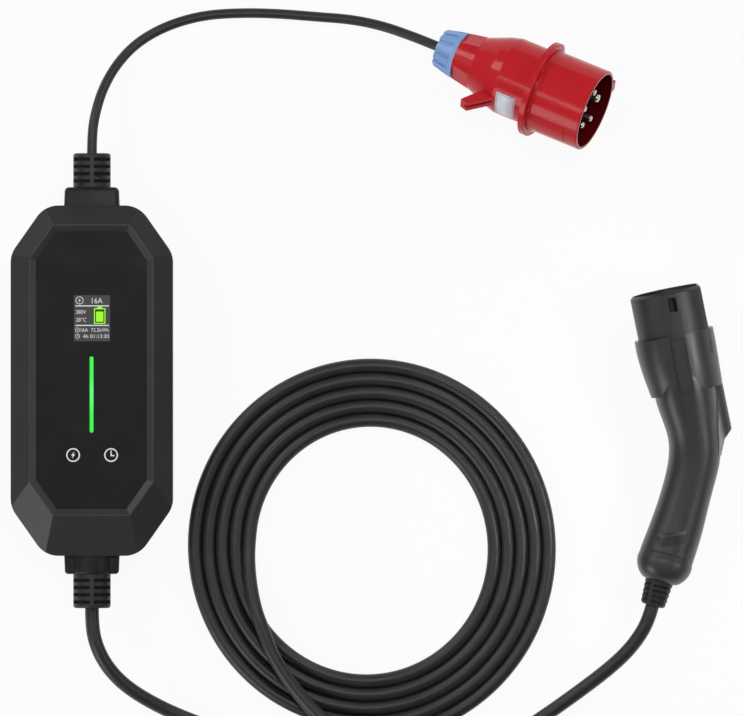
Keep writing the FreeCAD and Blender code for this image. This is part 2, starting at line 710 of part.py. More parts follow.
def supply_module():
    """The small converter that feeds the electronics."""
    x0 = SUPPLY_MODULE_X - SUPPLY_MODULE_WIDTH / 2
    y0 = SENSOR_Y - SUPPLY_MODULE_LENGTH / 2
    top = MAIN_BOARD_TOP + SUPPLY_MODULE_HEIGHT
    case = block(x0, x0 + SUPPLY_MODULE_WIDTH, y0, y0 + SUPPLY_MODULE_LENGTH, MAIN_BOARD_TOP, top)
    edges = [e for e in case.Edges if e.BoundBox.ZMax > top - 0.01]
    return case.makeFillet(SUPPLY_MODULE_RADIUS, edges)


def board_link():
    """The flat cable between the boards with its two sockets."""
    half = LINK_WIDTH / 2
    thin = LINK_THICKNESS / 2
    deep = LINK_SOCKET_DEPTH / 2
    cable = block(-half, half, LINK_Y - thin, LINK_Y + thin, MAIN_BOARD_TOP, DISPLAY_BOARD_BACK)
    wide = half + LINK_SOCKET_MARGIN
    for z in (MAIN_BOARD_TOP, DISPLAY_BOARD_BACK - LINK_SOCKET_HEIGHT):
        cable = cable.fuse(block(-wide, wide, LINK_Y - deep, LINK_Y + deep, z, z + LINK_SOCKET_HEIGHT))
    return cable.removeSplitter()


def terminal_places(ways):
    """Where the wires of a terminal block enter, across the box."""
    return [(i - (ways - 1) / 2) * TERMINAL_PITCH for i in range(ways)]


def terminal_block(ways, side, wire_radii):
    """A row of screw terminals on the main board."""
    half = ways * TERMINAL_PITCH / 2
    y0, y1 = sorted((side * TERMINAL_END_Y, side * (TERMINAL_END_Y - TERMINAL_DEPTH)))
    case = block(-half, half, y0, y1, MAIN_BOARD_TOP, MAIN_BOARD_TOP + TERMINAL_HEIGHT)
    z = MAIN_BOARD_TOP + TERMINAL_HOLE_HEIGHT
    middle = side * (TERMINAL_END_Y - TERMINAL_DEPTH / 2)
    seat = MAIN_BOARD_TOP + TERMINAL_HEIGHT - TERMINAL_SCREW_SINK
    for x, radius in zip(terminal_places(ways), wire_radii):
        entry = V(x, side * (TERMINAL_END_Y + OVER), z)
        case = case.cut(rod(entry, V(0, -side, 0), radius + SLIP, TERMINAL_HOLE_DEPTH))
        pocket = rod(V(x, middle, seat), V(0, 0, 1), SCREW_HEAD * SMALL_SCREW_RADIUS + SLIP, TERMINAL_HEIGHT)
        case = case.cut(pocket)
    return case


SUPPLY_WIRES = [SUPPLY_WIRE_RADIUS] * INPUT_WAYS
CHARGE_WIRES = [CHARGE_WIRE_RADIUS] * 2 + [SIGNAL_WIRE_RADIUS] + [CHARGE_WIRE_RADIUS]
CHARGE_WIRES = CHARGE_WIRES + [SIGNAL_WIRE_RADIUS] + [CHARGE_WIRE_RADIUS] * 2


def input_terminals():
    """The block that takes the supply cord's wires."""
    return terminal_block(INPUT_WAYS, 1, SUPPLY_WIRES)


def output_terminals():
    """The block that takes the charging cord's wires."""
    return terminal_block(OUTPUT_WAYS, -1, CHARGE_WIRES)


def terminal_screws():
    """The clamping screws of both blocks."""
    screws = []
    for ways, side in ((INPUT_WAYS, 1), (OUTPUT_WAYS, -1)):
        y = side * (TERMINAL_END_Y - TERMINAL_DEPTH / 2)
        seat = MAIN_BOARD_TOP + TERMINAL_HEIGHT - TERMINAL_SCREW_SINK
        radius = SCREW_HEAD * SMALL_SCREW_RADIUS
        for x in terminal_places(ways):
            screws.append(Part.makeCylinder(radius, TERMINAL_SCREW_HEIGHT, V(x, y, seat)))
    return Part.makeCompound(screws)


def cord_core(side, cord_radius, wire_radii):
    """The end of a cord inside the box: its sheath and the wires that fan out to the terminals."""
    sheath = rod(V(0, side * RELIEF_INNER_END, GLAND_HEIGHT), V(0, -side, 0), cord_radius,
                 RELIEF_INNER_END - SHEATH_END_Y)
    solids = [sheath]
    count = len(wire_radii)
    z = MAIN_BOARD_TOP + TERMINAL_HOLE_HEIGHT
    spread = cord_radius - max(wire_radii) - WIRE_GAP
    for i, (x, radius) in enumerate(zip(terminal_places(count), wire_radii)):
        angle = math.pi * (1 - (i + 0.5) / count)
        start_x = spread * math.cos(angle)
        start_z = GLAND_HEIGHT + spread * (1 if i % 2 else -1) * math.sin(angle)
        route = [
            V(start_x, side * SHEATH_END_Y, start_z),
            V(start_x, side * (SHEATH_END_Y - WIRE_STRAIGHT), start_z),
            V(x, side * (TERMINAL_END_Y + WIRE_ENTRY), z),
            V(x, side * (TERMINAL_END_Y - WIRE_ENTRY), z)]
        solids.append(tube(route, radius))
    return Part.makeCompound(solids)


def supply_core():
    """The supply cord's end inside the box."""
    return cord_core(1, SUPPLY_CORD_RADIUS, SUPPLY_WIRES)


def charge_core():
    """The charging cord's end inside the box."""
    return cord_core(-1, CHARGE_CORD_RADIUS, CHARGE_WIRES)


def cord_clamps():
    """The bars that hold both cords down on the back cover."""
    bars = []
    for side, radius in ((1, SUPPLY_CORD_RADIUS), (-1, CHARGE_CORD_RADIUS)):
        y = side * CLAMP_Y
        top = GLAND_HEIGHT + radius + CLAMP_BAR_HEIGHT
        bar = clamp_block(y, GLAND_HEIGHT, top)
        bar = bar.cut(rod(V(0, y - CLAMP_LENGTH, GLAND_HEIGHT), V(0, 1, 0), radius, 2 * CLAMP_LENGTH))
        for x in (-CLAMP_SCREW_X, CLAMP_SCREW_X):
            hole = Part.makeCylinder(SMALL_SCREW_RADIUS + SLIP, BOX_DEPTH, V(x, y, GLAND_HEIGHT))
            head = V(x, y, GLAND_HEIGHT + CLAMP_BAR_HEIGHT)
            seat = Part.makeCylinder(SCREW_HEAD * SMALL_SCREW_RADIUS + SLIP, BOX_DEPTH, head)
            bar = bar.cut(hole).cut(seat)
        bars.append(bar)
    return Part.makeCompound(bars)


def clamp_screws():
    """The screws of the cord clamps."""
    down = V(0, 0, -1)
    length = CLAMP_BAR_HEIGHT + SMALL_SCREW_LENGTH
    z = GLAND_HEIGHT + CLAMP_BAR_HEIGHT
    places = [V(x, side * CLAMP_Y, z) for side in (-1, 1) for x in (-CLAMP_SCREW_X, CLAMP_SCREW_X)]
    return Part.makeCompound([screw(place, down, SMALL_SCREW_RADIUS, length) for place in places])


def at_gland(solid, side):
    """Turns a solid made about z, with z = 0 on the box's end wall, to its end of the box."""
    turn = FreeCAD.Rotation(V(1, 0, 0), -90 * side)
    solid.Placement = FreeCAD.Placement(V(0, side * BOX_END, GLAND_HEIGHT), turn)
    return solid


def collar(side, lugs):
    """The round seat of a gland, with its neck through the wall and its lip inside."""
    body = turned([(0, 0), (COLLAR_ROOT_RADIUS, 0), (COLLAR_TIP_RADIUS, COLLAR_LENGTH), (0, COLLAR_LENGTH)])
    tip = [e for e in body.Edges if e.BoundBox.ZMin > COLLAR_LENGTH - 0.01 and e.Closed]
    body = body.makeFillet(COLLAR_EDGE_RADIUS, tip)
    back = -WALL - COLLAR_LIP_THICKNESS
    neck = Part.makeCylinder(COLLAR_NECK_RADIUS, WALL, V(0, 0, -WALL))
    lip = Part.makeCylinder(COLLAR_LIP_RADIUS, COLLAR_LIP_THICKNESS, V(0, 0, back))
    body = body.fuse(neck).fuse(lip)
    if lugs:
        reach = COLLAR_ROOT_RADIUS + COLLAR_LUG
        half = COLLAR_LUG_WIDTH / 2
        body = body.fuse(block(-reach, reach, -half, half, 0, COLLAR_LUG_LENGTH))
    length = COLLAR_LENGTH - back + 2 * OVER
    bore = Part.makeCylinder(RELIEF_ROOT_RADIUS + SLIP, length, V(0, 0, back - OVER))
    bottom = COLLAR_LENGTH - COLLAR_GROOVE
    groove = Part.makeCylinder(RELIEF_RADIUS + COLLAR_GROOVE, COLLAR_LENGTH, V(0, 0, bottom))
    groove = groove.cut(Part.makeCylinder(RELIEF_RADIUS, COLLAR_LENGTH, V(0, 0, bottom)))
    return at_gland(body.cut(bore).cut(groove).removeSplitter(), side)


def top_collar():
    """The seat of the supply cord's gland."""
    return collar(1, False)


def bottom_collar():
    """The seat of the charging cord's gland."""
    return collar(-1, True)


def relief_slots(radius, rows, first, pitch, width, depth, rib):
    """Short grooves in rows round a strain relief, with four plain ribs left along it."""
    slots = []
    for row in range(rows):
        z = first + row * pitch
        outer = Part.makeCylinder(radius + OVER, width, V(0, 0, z))
        ring = outer.cut(Part.makeCylinder(radius - depth, width, V(0, 0, z)))
        for angle in (0, 90):
            bar = block(-2 * radius, 2 * radius, -rib / 2, rib / 2, z - OVER, z + width + OVER)
            bar.rotate(V(0, 0, 0), V(0, 0, 1), angle)
            ring = ring.cut(bar)
        slots.append(ring)
    return slots


def strain_relief(side):
    """The rubber sleeve of a cord, from its lip inside the box to its slotted outer end."""
    length = COLLAR_LENGTH + RELIEF_LENGTH
    outer = Part.makeCylinder(RELIEF_RADIUS, RELIEF_LENGTH, V(0, 0, COLLAR_LENGTH))
    tip = [e for e in outer.Edges if e.BoundBox.ZMin > length - 0.01]
    outer = outer.makeFillet(RELIEF_EDGE_RADIUS, tip)
    bottom = -WALL - COLLAR_LIP_THICKNESS
    root = Part.makeCylinder(RELIEF_ROOT_RADIUS, COLLAR_LENGTH - bottom, V(0, 0, bottom))
    lip = Part.makeCylinder(RELIEF_RADIUS, RELIEF_LIP_THICKNESS, V(0, 0, bottom - RELIEF_LIP_THICKNESS))
    body = outer.fuse(root).fuse(lip)
    used = (RELIEF_SLOT_ROWS - 1) * RELIEF_SLOT_PITCH + RELIEF_SLOT_WIDTH
    first = COLLAR_LENGTH + (RELIEF_LENGTH - used) / 2
    slots = relief_slots(RELIEF_RADIUS, RELIEF_SLOT_ROWS, first, RELIEF_SLOT_PITCH,
                         RELIEF_SLOT_WIDTH, RELIEF_SLOT_DEPTH, RELIEF_RIB_WIDTH)
    return at_gland(body.cut(slots).removeSplitter(), side)


def top_strain_relief():
    """The supply cord's sleeve."""
    return strain_relief(1)


def bottom_strain_relief():
    """The charging cord's sleeve."""
    return strain_relief(-1)


# The plug lies on the back edge of its nut and on its flange
PLUG_TILT = math.degrees(math.atan2(PLUG_FLANGE_RADIUS - PLUG_NUT_BACK_RADIUS, PLUG_FLANGE))


def plug_placement():
    """Turns the plug's z to where it points, its x upwards, and stands it on the floor."""
    yaw = math.radians(PLUG_YAW)
    tilt = math.radians(PLUG_TILT)
    axis = V(math.cos(yaw) * math.cos(tilt), math.sin(yaw) * math.cos(tilt), math.sin(tilt))
    up = V(-math.cos(yaw) * math.sin(tilt), -math.sin(yaw) * math.sin(tilt), math.cos(tilt))
    side = axis.cross(up)
    height = PLUG_NUT_BACK_RADIUS * math.cos(tilt)
    matrix = FreeCAD.Matrix(up.x, side.x, axis.x, PLUG_X, up.y, side.y, axis.y, PLUG_Y,
                            up.z, side.z, axis.z, height, 0, 0, 0, 1)
    return FreeCAD.Placement(matrix)


def in_plug(solid):
    """Moves a solid from the plug's own frame to its place."""
    solid.Placement = plug_placement().multiply(solid.Placement)
    return solid


def polar(radius, angle, z=0.0):
    """A point round the plug's axis."""
    turn = math.radians(angle)
    return V(radius * math.cos(turn), radius * math.sin(turn), z)


def around_plug(solid, angle):
    """Turns a solid round the plug's axis."""
    solid.rotate(V(0, 0, 0), V(0, 0, 1), angle)
    return solid


def leaning(solid, radius, z, slope):
    """Leans a solid out by a slope and sets it at a radius and a height."""
    solid.rotate(V(0, 0, 0), V(0, 1, 0), math.degrees(math.atan(slope)))
    solid.translate(V(radius, 0, z))
    return solid


def plug_gland_nut():
    """The fluted nut that clamps the cord."""
    top = PLUG_NUT_LENGTH - PLUG_NUT_RIM
    slope = (PLUG_NUT_RADIUS - PLUG_NUT_BACK_RADIUS) / top
    body = turned([
        (0, 0), (PLUG_NUT_BACK_RADIUS, 0), (PLUG_NUT_RADIUS, top), (PLUG_NUT_RADIUS, PLUG_NUT_LENGTH),
        (0, PLUG_NUT_LENGTH)])
    half = PLUG_NUT_FLUTE_WIDTH / 2
    for i in range(PLUG_NUT_FLUTES):
        flute = block(-PLUG_NUT_FLUTE_DEPTH, PLUG_NUT_RADIUS, -half, half, -2 * OVER, top - OVER)
        flute = leaning(flute, PLUG_NUT_BACK_RADIUS, 0, slope)
        body = body.cut(around_plug(flute, 360 * (i + 0.5) / PLUG_NUT_FLUTES))
    thread = Part.makeCylinder(PLUG_THREAD_RADIUS + SLIP, PLUG_NUT_LENGTH, V(0, 0, PLUG_THREAD_START))
    bore = Part.makeCylinder(PLUG_SEAL_RADIUS + SLIP, PLUG_NUT_LENGTH, V(0, 0, -OVER))
    return in_plug(body.cut(thread).cut(bore))


def plug_cord_seal():
    """The rubber ring that the nut squeezes on the cord."""
    return in_plug(Part.makeCylinder(PLUG_SEAL_RADIUS, PLUG_NUT_LENGTH))


def plug_body_form():
    """The outside of the plug's rear half, with its threaded end under the nut."""
    body = turned([
        (0, PLUG_THREAD_START), (PLUG_THREAD_RADIUS, PLUG_THREAD_START),
        (PLUG_THREAD_RADIUS, PLUG_NUT_LENGTH), (PLUG_NECK_RADIUS, PLUG_NUT_LENGTH),
        (PLUG_NECK_END_RADIUS, PLUG_NECK_END),
        (PLUG_SHOULDER_RADIUS, PLUG_SHOULDER), (PLUG_BODY_RADIUS, PLUG_BARREL),
        (PLUG_BODY_RADIUS, PLUG_FLANGE), (0, PLUG_FLANGE)])
    bends = []
    for edge in body.Edges:
        z = edge.CenterOfMass.z
        if edge.Closed and min(abs(z - PLUG_SHOULDER), abs(z - PLUG_BARREL)) < 0.01:
            bends.append(edge)
    return body.makeFillet(PLUG_SHOULDER_ROUNDING, bends)


def plug_neck_flats():
    """What the grip flats take off the neck, each as far from the axis as the neck's cone asks."""
    run = PLUG_NECK_END - PLUG_NUT_LENGTH
    slope = (PLUG_NECK_END_RADIUS - PLUG_NECK_RADIUS) / run
    wide = PLUG_BODY_RADIUS
    flats = []
    for i in range(PLUG_NECK_FLATS):
        flat = leaning(block(0, wide, -wide, wide, -OVER, run), PLUG_NECK_RADIUS - PLUG_NECK_FLAT_DEPTH,
                       PLUG_NUT_LENGTH, slope)
        flats.append(around_plug(flat, PLUG_NECK_FLAT_ANGLE + 360 * i / PLUG_NECK_FLATS))
    return flats


def plug_body():
    """The rear half of the plug: neck, shoulder and barrel up to the flange."""
    seal = PLUG_SEAL_RADIUS + SLIP
    neck = PLUG_WALL + PLUG_NECK_FLAT_DEPTH
    hollow = turned([
        (0, PLUG_NUT_LENGTH + PLUG_WALL), (seal, PLUG_NUT_LENGTH + PLUG_WALL),
        (PLUG_NECK_END_RADIUS - neck, PLUG_NECK_END), (PLUG_SHOULDER_RADIUS - neck, PLUG_SHOULDER),
        (PLUG_BODY_RADIUS - PLUG_WALL, PLUG_BARREL), (PLUG_BODY_RADIUS - PLUG_WALL, PLUG_FLANGE + OVER),
        (0, PLUG_FLANGE + OVER)])
    bore = Part.makeCylinder(seal, PLUG_NECK_END)
    body = plug_body_form().cut(plug_neck_flats()).fuse(plug_lug())
    return in_plug(body.cut(hollow).cut(bore).removeSplitter())


def plug_lug():
    """The wing that a socket's lid hooks on, leaning back, with a slot along its outer face."""
    points = [V(radius, 0, z) for radius, z in PLUG_LUG_OUTLINE]
    half = PLUG_LUG_WIDTH / 2
    wing = Part.Face(Part.makePolygon(points + points[:1])).extrude(V(0, PLUG_LUG_WIDTH, 0))
    wing.translate(V(0, -half, 0))
    tip, front = points[2:]
    along = (front - tip).normalize()
    inward = V(-along.z, 0, along.x) * (1 if along.z > 0 else -1)
    corners = [tip - along - inward, front + along - inward, front + along + inward * PLUG_LUG_SLOT_DEPTH,
               tip - along + inward * PLUG_LUG_SLOT_DEPTH]
    slot = Part.Face(Part.makePolygon(corners + corners[:1])).extrude(V(0, PLUG_LUG_SLOT_WIDTH, 0))
    slot.translate(V(0, -PLUG_LUG_SLOT_WIDTH / 2, 0))
    return around_plug(wing.cut(slot), PLUG_LUG_ANGLE)


def plug_flange():
    """The flange disc with rounded rims and its one flat."""
    disc = Part.makeCylinder(PLUG_FLANGE_RADIUS, PLUG_FLANGE_THICKNESS, V(0, 0, PLUG_FLANGE))
    front = [e for e in disc.Edges if e.BoundBox.ZMin > PLUG_FLANGE + PLUG_FLANGE_THICKNESS - 0.01]
    reach = 2 * PLUG_FLANGE_RADIUS
    flat = block(PLUG_FLANGE_FLAT, reach, -reach, reach, PLUG_FLANGE - OVER, PLUG_LENGTH)
    return disc.makeFillet(PLUG_FLANGE_EDGE, front).cut(around_plug(flat, PLUG_FLANGE_FLAT_ANGLE))


def plug_key():
    """The ridge on the shroud that finds its groove in the socket, its outer edges rounded."""
    half = PLUG_KEY_WIDTH / 2
    top = PLUG_SHROUD_RADIUS + PLUG_KEY_HEIGHT
    ridge = block(PLUG_SHROUD_RADIUS - PLUG_WALL / 2, top, -half, half, PLUG_FLANGE + OVER, PLUG_LENGTH)
    outer = [e for e in ridge.Edges if e.BoundBox.XMin > top - 0.01 and e.BoundBox.YLength < 0.01]
    return around_plug(ridge.makeFillet(PLUG_KEY_EDGE, outer), PLUG_KEY_ANGLE)


def plug_plate():
    """The low bare plate on the shroud."""
    z = PLUG_FLANGE + PLUG_FLANGE_THICKNESS + PLUG_PLATE_SETBACK
    half = PLUG_PLATE_WIDTH / 2
    outer = Part.makeCylinder(PLUG_SHROUD_RADIUS + PLUG_PLATE_HEIGHT, PLUG_PLATE_LENGTH, V(0, 0, z))
    bar = block(0, PLUG_FLANGE_RADIUS, -half, half, z, z + PLUG_PLATE_LENGTH)
    return around_plug(outer.common(bar), PLUG_PLATE_ANGLE)


def plug_shroud():
    """The front half of the plug: flange, open shroud, key ridge and plate."""
    inner = PLUG_SHROUD_RADIUS - PLUG_WALL
    foot = PLUG_FLANGE + PLUG_FLANGE_THICKNESS + PLUG_SHROUD_FOOT_LENGTH
    edge = PLUG_LENGTH - PLUG_SHROUD_EDGE
    body = turned([
        (0, PLUG_FLANGE), (PLUG_SHROUD_RADIUS + PLUG_SHROUD_FOOT, PLUG_FLANGE),
        (PLUG_SHROUD_RADIUS + PLUG_SHROUD_FOOT, foot - PLUG_SHROUD_FOOT), (PLUG_SHROUD_RADIUS, foot),
        (PLUG_SHROUD_RADIUS, edge), (PLUG_SHROUD_RADIUS - PLUG_SHROUD_EDGE, PLUG_LENGTH), (0, PLUG_LENGTH)])
    hollow = Part.makeCylinder(inner, PLUG_LENGTH, V(0, 0, PLUG_FLANGE - OVER))
    body = body.fuse([plug_flange(), plug_key(), plug_plate()])
    return in_plug(body.cut(hollow).removeSplitter())


def plug_pins():
    """The angle and the radius of each pin, the earth pin first."""
    step = 360 / PLUG_PIN_COUNT
    radii = [PLUG_EARTH_RADIUS] + [PLUG_PIN_RADIUS] * (PLUG_PIN_COUNT - 1)
    return [(PLUG_KEY_ANGLE + step * i, radius) for i, radius in enumerate(radii)]


def plug_pin_carrier():
    """The insulator that holds the pins."""
    disc = Part.makeCylinder(PLUG_SHROUD_RADIUS - PLUG_WALL, PLUG_CARRIER_THICKNESS, V(0, 0, PLUG_FLANGE))
    back = PLUG_FLANGE - PLUG_CARRIER_STEM
    stem = Part.makeCylinder(PLUG_CARRIER_STEM_RADIUS, PLUG_CARRIER_STEM, V(0, 0, back))
    carrier = disc.fuse(stem)
    for angle, radius in plug_pins():
        place = polar(PLUG_PIN_CIRCLE_RADIUS, angle)
        carrier = carrier.cut(rod(place, V(0, 0, 1), radius + PLUG_PIN_STEP, PLUG_LENGTH))
    return in_plug(carrier.removeSplitter())


def plug_pin(angle, radius):
    """One contact pin, rounded at its tip and thicker in the carrier."""
    end = PLUG_LENGTH - PLUG_PIN_RECESS
    front = PLUG_FLANGE + PLUG_CARRIER_THICKNESS
    start = front - PLUG_PIN_ROOT
    pin = rod(polar(PLUG_PIN_CIRCLE_RADIUS, angle, start), V(0, 0, 1), radius, end - start)
    pin = pin.makeFillet(PLUG_PIN_TIP * radius, [e for e in pin.Edges if e.BoundBox.ZMin > end - 0.01])
    root = rod(polar(PLUG_PIN_CIRCLE_RADIUS, angle, start), V(0, 0, 1), radius + PLUG_PIN_STEP, PLUG_PIN_ROOT)
    return pin.fuse(root).removeSplitter()


def plug_phase_pins():
    """The three line pins and the neutral pin."""
    return in_plug(Part.makeCompound([plug_pin(angle, radius) for angle, radius in plug_pins()[1:]]))


def plug_earth_pin():
    """The thicker earth pin beside the key ridge."""
    return in_plug(plug_pin(*plug_pins()[0]))


# Connector: each grip section has a middle, a heading and half widths across and upwards.
# Headings turn from the nose's axis towards the grip's. Head sections all face along the nose.
GRIP_SECTIONS = (
    (0.5, -14.0, 0.0, 11.0, 29.6),
    (0.5, -30.0, 0.0, 21.0, 30.6),
    (0.5, -48.0, 0.0, 23.5, 29.2),
    (0.5, -70.0, 3.0, 20.6, 26.0),
    (-2.2, -93.0, 14.0, 19.6, 23.2),
    (-12.2, -116.5, 27.0, 18.9, 21.8),
    (-23.1, -138.0, 27.0, 19.6, 21.6),
    (-32.2, -154.1, 27.0, 20.4, 22.2),
    (-39.3, -166.2, 27.0, 20.7, 22.4))
HEAD_SECTIONS = (
    (0.2, 0.0, 30.3, 31.8),
    (0.2, -14.0, 30.2, 31.4),
    (0.8, -30.0, 29.0, 30.4),
    (1.6, -44.0, 27.6, 28.2))
GRIP_HEADING = GRIP_SECTIONS[-1][2]
GRIP_SQUARENESS = 2.4
HEAD_SQUARENESS = 2.2
OVAL_POINTS = 16

# The ledge's outline from its tip inwards
LIP_OUTLINE = ((29.4, -78.9), (22.4, -85.4), (17.4, -96.9))
LIP_HALF_HEIGHT = 13.0
CONNECTOR_SCREWS = ((0.5, -62.0), (-6.5, -106.0), (-28.0, -146.5))


def oval(x, y, heading, half_width, half_height, squareness=GRIP_SQUARENESS):
    """A closed smooth section across the handle."""
    turn = math.radians(heading)
    across = V(math.cos(turn), -math.sin(turn), 0)
    points = []
    for i in range(OVAL_POINTS):
        angle = 2 * math.pi * i / OVAL_POINTS
        c = math.cos(angle)
        s = math.sin(angle)
        wide = math.copysign(abs(c) ** (2 / squareness), c) * half_width
        high = math.copysign(abs(s) ** (2 / squareness), s) * half_height
        points.append(V(x, y, 0) + across * wide + V(0, 0, high))
    curve = Part.BSplineCurve()
    curve.interpolate(points, PeriodicFlag=True)
    return Part.Wire([curve.toShape()])


def handle_form(inset):
    """The whole outside of the handle, or with an inset its hollow."""
    grip = [oval(x, y, h, w - inset, z - inset) for x, y, h, w, z in GRIP_SECTIONS]
    head = [oval(x, y, 0, w - inset, z - inset, HEAD_SQUARENESS) for x, y, w, z in HEAD_SECTIONS]
    return Part.makeLoft(grip, True), Part.makeLoft(head, True)


def cap_section(distance, half_width, half_height):
    """A section of the rear cap, at a distance along the grip's heading past the last section."""
    place = cap_end(distance - CAP_LENGTH)
    return oval(place.x, place.y, GRIP_HEADING, half_width, half_height)


def cap_end(distance=0.0):
    """A point on the cord's line past the rear cap, in the connector's own frame."""
    x, y = GRIP_SECTIONS[-1][:2]
    turn = math.radians(GRIP_HEADING)
    reach = CAP_LENGTH + distance
    return V(x - reach * math.sin(turn), y - reach * math.cos(turn), 0)


def handle_lip():
    """The pointed ledge that stops a finger where the head meets the grip."""
    start = HEAD_SECTIONS[-1][1]
    wide = LIP_OUTLINE[0][0]
    end = LIP_OUTLINE[-1][1]
    side = prism(((0, start), (wide, start)) + LIP_OUTLINE + ((0, end),), -BOX_DEPTH, BOX_DEPTH)
    wall = Part.Face(oval(0, start, 0, wide, LIP_HALF_HEIGHT, 2.0)).extrude(V(0, end - start, 0))
    return side.common(wall)


def nose_section(inset, y0, y1):
    """The nose's round section with its one flat side, along y."""
    round_bar = rod(V(NOSE_OFFSET_X, y0, 0), V(0, 1, 0), NOSE_RADIUS - inset, y1 - y0)
    flat = NOSE_OFFSET_X + NOSE_FLAT - inset
    high = 2 * NOSE_RADIUS
    return round_bar.cut(block(flat, flat + NOSE_RADIUS, y0 - OVER, y1 + OVER, -high, high))


def tongue(gap, z0, z1):
    """A bar with one round end that slopes back along the head, or with a gap its pocket."""
    half = TONGUE_WIDTH / 2 + gap
    end = -TONGUE_END + TONGUE_WIDTH / 2
    bar = block(TONGUE_X - half, TONGUE_X + half, end, -TONGUE_START + gap, z0, z1)
    bar = bar.fuse(Part.makeCylinder(half, z1 - z0, V(TONGUE_X, end, z0))).removeSplitter()
    bar.rotate(V(0, -TONGUE_START, TONGUE_TOP), V(1, 0, 0), TONGUE_SLOPE)
    return bar


def on_side(solid, side):
    """A solid of the upper side, or its mirror image in the plane of the shells' seam."""
    return solid if side > 0 else solid.mirror(V(0, 0, 0), V(0, 0, 1))


def handle_shell(side):
    """One half of the handle, hollow, with its share of the screw bosses."""
    grip, head = handle_form(0.0)
    inner_grip, inner_head = handle_form(SHELL_WALL)
    z0, z1 = sorted((0, side * BOX_DEPTH))
    half = block(-BOX_LENGTH, BOX_LENGTH, -BOX_LENGTH, BOX_LENGTH, z0, z1)
    form = grip.fuse(head).fuse(handle_lip()).common(half)
    behind = block(-BOX_LENGTH, BOX_LENGTH, -BOX_LENGTH, -NOSE_ROOT, -BOX_DEPTH, BOX_DEPTH)
    shell = form.cut(inner_grip.fuse(inner_head).common(behind)).cut(nose_section(-SLIP, -NOSE_ROOT, OVER))
    for x, y in CONNECTOR_SCREWS:
        shell = shell.fuse(rod(V(x, y, 0), V(0, 0, side), CONNECTOR_BOSS_RADIUS, BOX_DEPTH).common(form))
    shell = shell.cut(on_side(tongue(TONGUE_GAP, TONGUE_TOP - TONGUE_DEPTH, BOX_DEPTH), side))
    hole = CONNECTOR_SCREW_RADIUS + SLIP
    for x, y in CONNECTOR_SCREWS:
        if side < 0:
            seat = V(x, y, -CONNECTOR_SCREW_SEAT)
            head_hole = SCREW_HEAD * CONNECTOR_SCREW_RADIUS + CONNECTOR_SCREW_HEAD_GAP
            shell = shell.cut(rod(V(x, y, 0), V(0, 0, -1), hole, BOX_DEPTH))
            shell = shell.cut(rod(seat, V(0, 0, -1), head_hole, BOX_DEPTH))
        else:
            shell = shell.cut(rod(V(x, y, 0), V(0, 0, 1), hole, CONNECTOR_SCREW_HOLD + SCREW_SPARE))
    return shell


def connector_shell_upper():
    """The half of the handle that faces up."""
    return in_connector(handle_shell(1))


def connector_shell_lower():
    """The half of the handle that faces the floor, with the screw heads."""
    return in_connector(handle_shell(-1))


def connector_screws():
    """The screws that hold the shells together."""
    up = V(0, 0, 1)
    length = CONNECTOR_SCREW_SEAT + CONNECTOR_SCREW_HOLD
    places = [V(x, y, -CONNECTOR_SCREW_SEAT) for x, y in CONNECTOR_SCREWS]
    return in_connector(Part.makeCompound([screw(p, up, CONNECTOR_SCREW_RADIUS, length) for p in places]))


def connector_nose():
    """The open shell that goes into the car's inlet, with a lock window on each side."""
    outer = nose_section(0.0, -NOSE_ROOT, NOSE_LENGTH)
    rim = [e for e in outer.Edges if e.BoundBox.YMin > NOSE_LENGTH - 0.01]
    outer = outer.makeChamfer(NOSE_CHAMFER, rim)
    nose = outer.cut(nose_section(NOSE_WALL, -NOSE_ROOT - OVER, NOSE_LENGTH + OVER))
    x0 = LOCK_WINDOW_X - LOCK_WINDOW_WIDTH / 2
    y1 = LOCK_WINDOW_Y + LOCK_WINDOW_LENGTH
    window = block(x0, x0 + LOCK_WINDOW_WIDTH, LOCK_WINDOW_Y, y1, -BOX_DEPTH, BOX_DEPTH)
    return in_connector(nose.cut(window))


def socket_places():
    """Where the contacts are, in x and z, with the bore of each."""
    x = NOSE_OFFSET_X
    power = [(x, 0.0), (x, -SOCKET_PITCH), (x, SOCKET_PITCH)]
    power += [(x - SOCKET_ROW, -SOCKET_PITCH / 2), (x - SOCKET_ROW, SOCKET_PITCH / 2)]
    signal = [(x + SIGNAL_ROW, -SIGNAL_PITCH / 2), (x + SIGNAL_ROW, SIGNAL_PITCH / 2)]
    return [(p, POWER_SOCKET_RADIUS) for p in power] + [(p, SIGNAL_SOCKET_RADIUS) for p in signal]


def contact_carrier():
    """The insulator in the nose: a plate with a tube round each contact."""
    back = -CARRIER_THICKNESS
    plate = nose_section(NOSE_WALL, back, 0)
    along = V(0, 1, 0)
    for (x, z), bore in socket_places():
        radius = bore + SOCKET_WALL + SOCKET_TUBE_WALL
        plate = plate.fuse(rod(V(x, back, z), along, radius, NOSE_LENGTH - CARRIER_RECESS - back))
    for (x, z), bore in socket_places():
        plate = plate.cut(rod(V(x, back - OVER, z), along, bore + SOCKET_WALL, NOSE_LENGTH - back + OVER))
    return in_connector(plate.removeSplitter())


def sockets(wanted):
    """The contact tubes with one bore."""
    along = V(0, 1, 0)
    start = -CARRIER_THICKNESS - SOCKET_TAIL
    end = NOSE_LENGTH - CARRIER_RECESS - SOCKET_RECESS
    tubes = []
    for (x, z), bore in socket_places():
        if bore == wanted:
            body = rod(V(x, start, z), along, bore + SOCKET_WALL, end - start)
            tubes.append(body.cut(rod(V(x, 0, z), along, bore, NOSE_LENGTH)))
    return in_connector(Part.makeCompound(tubes))


def power_sockets():
    """The five power contacts."""
    return sockets(POWER_SOCKET_RADIUS)


def signal_sockets():
    """The two signal contacts."""
    return sockets(SIGNAL_SOCKET_RADIUS)


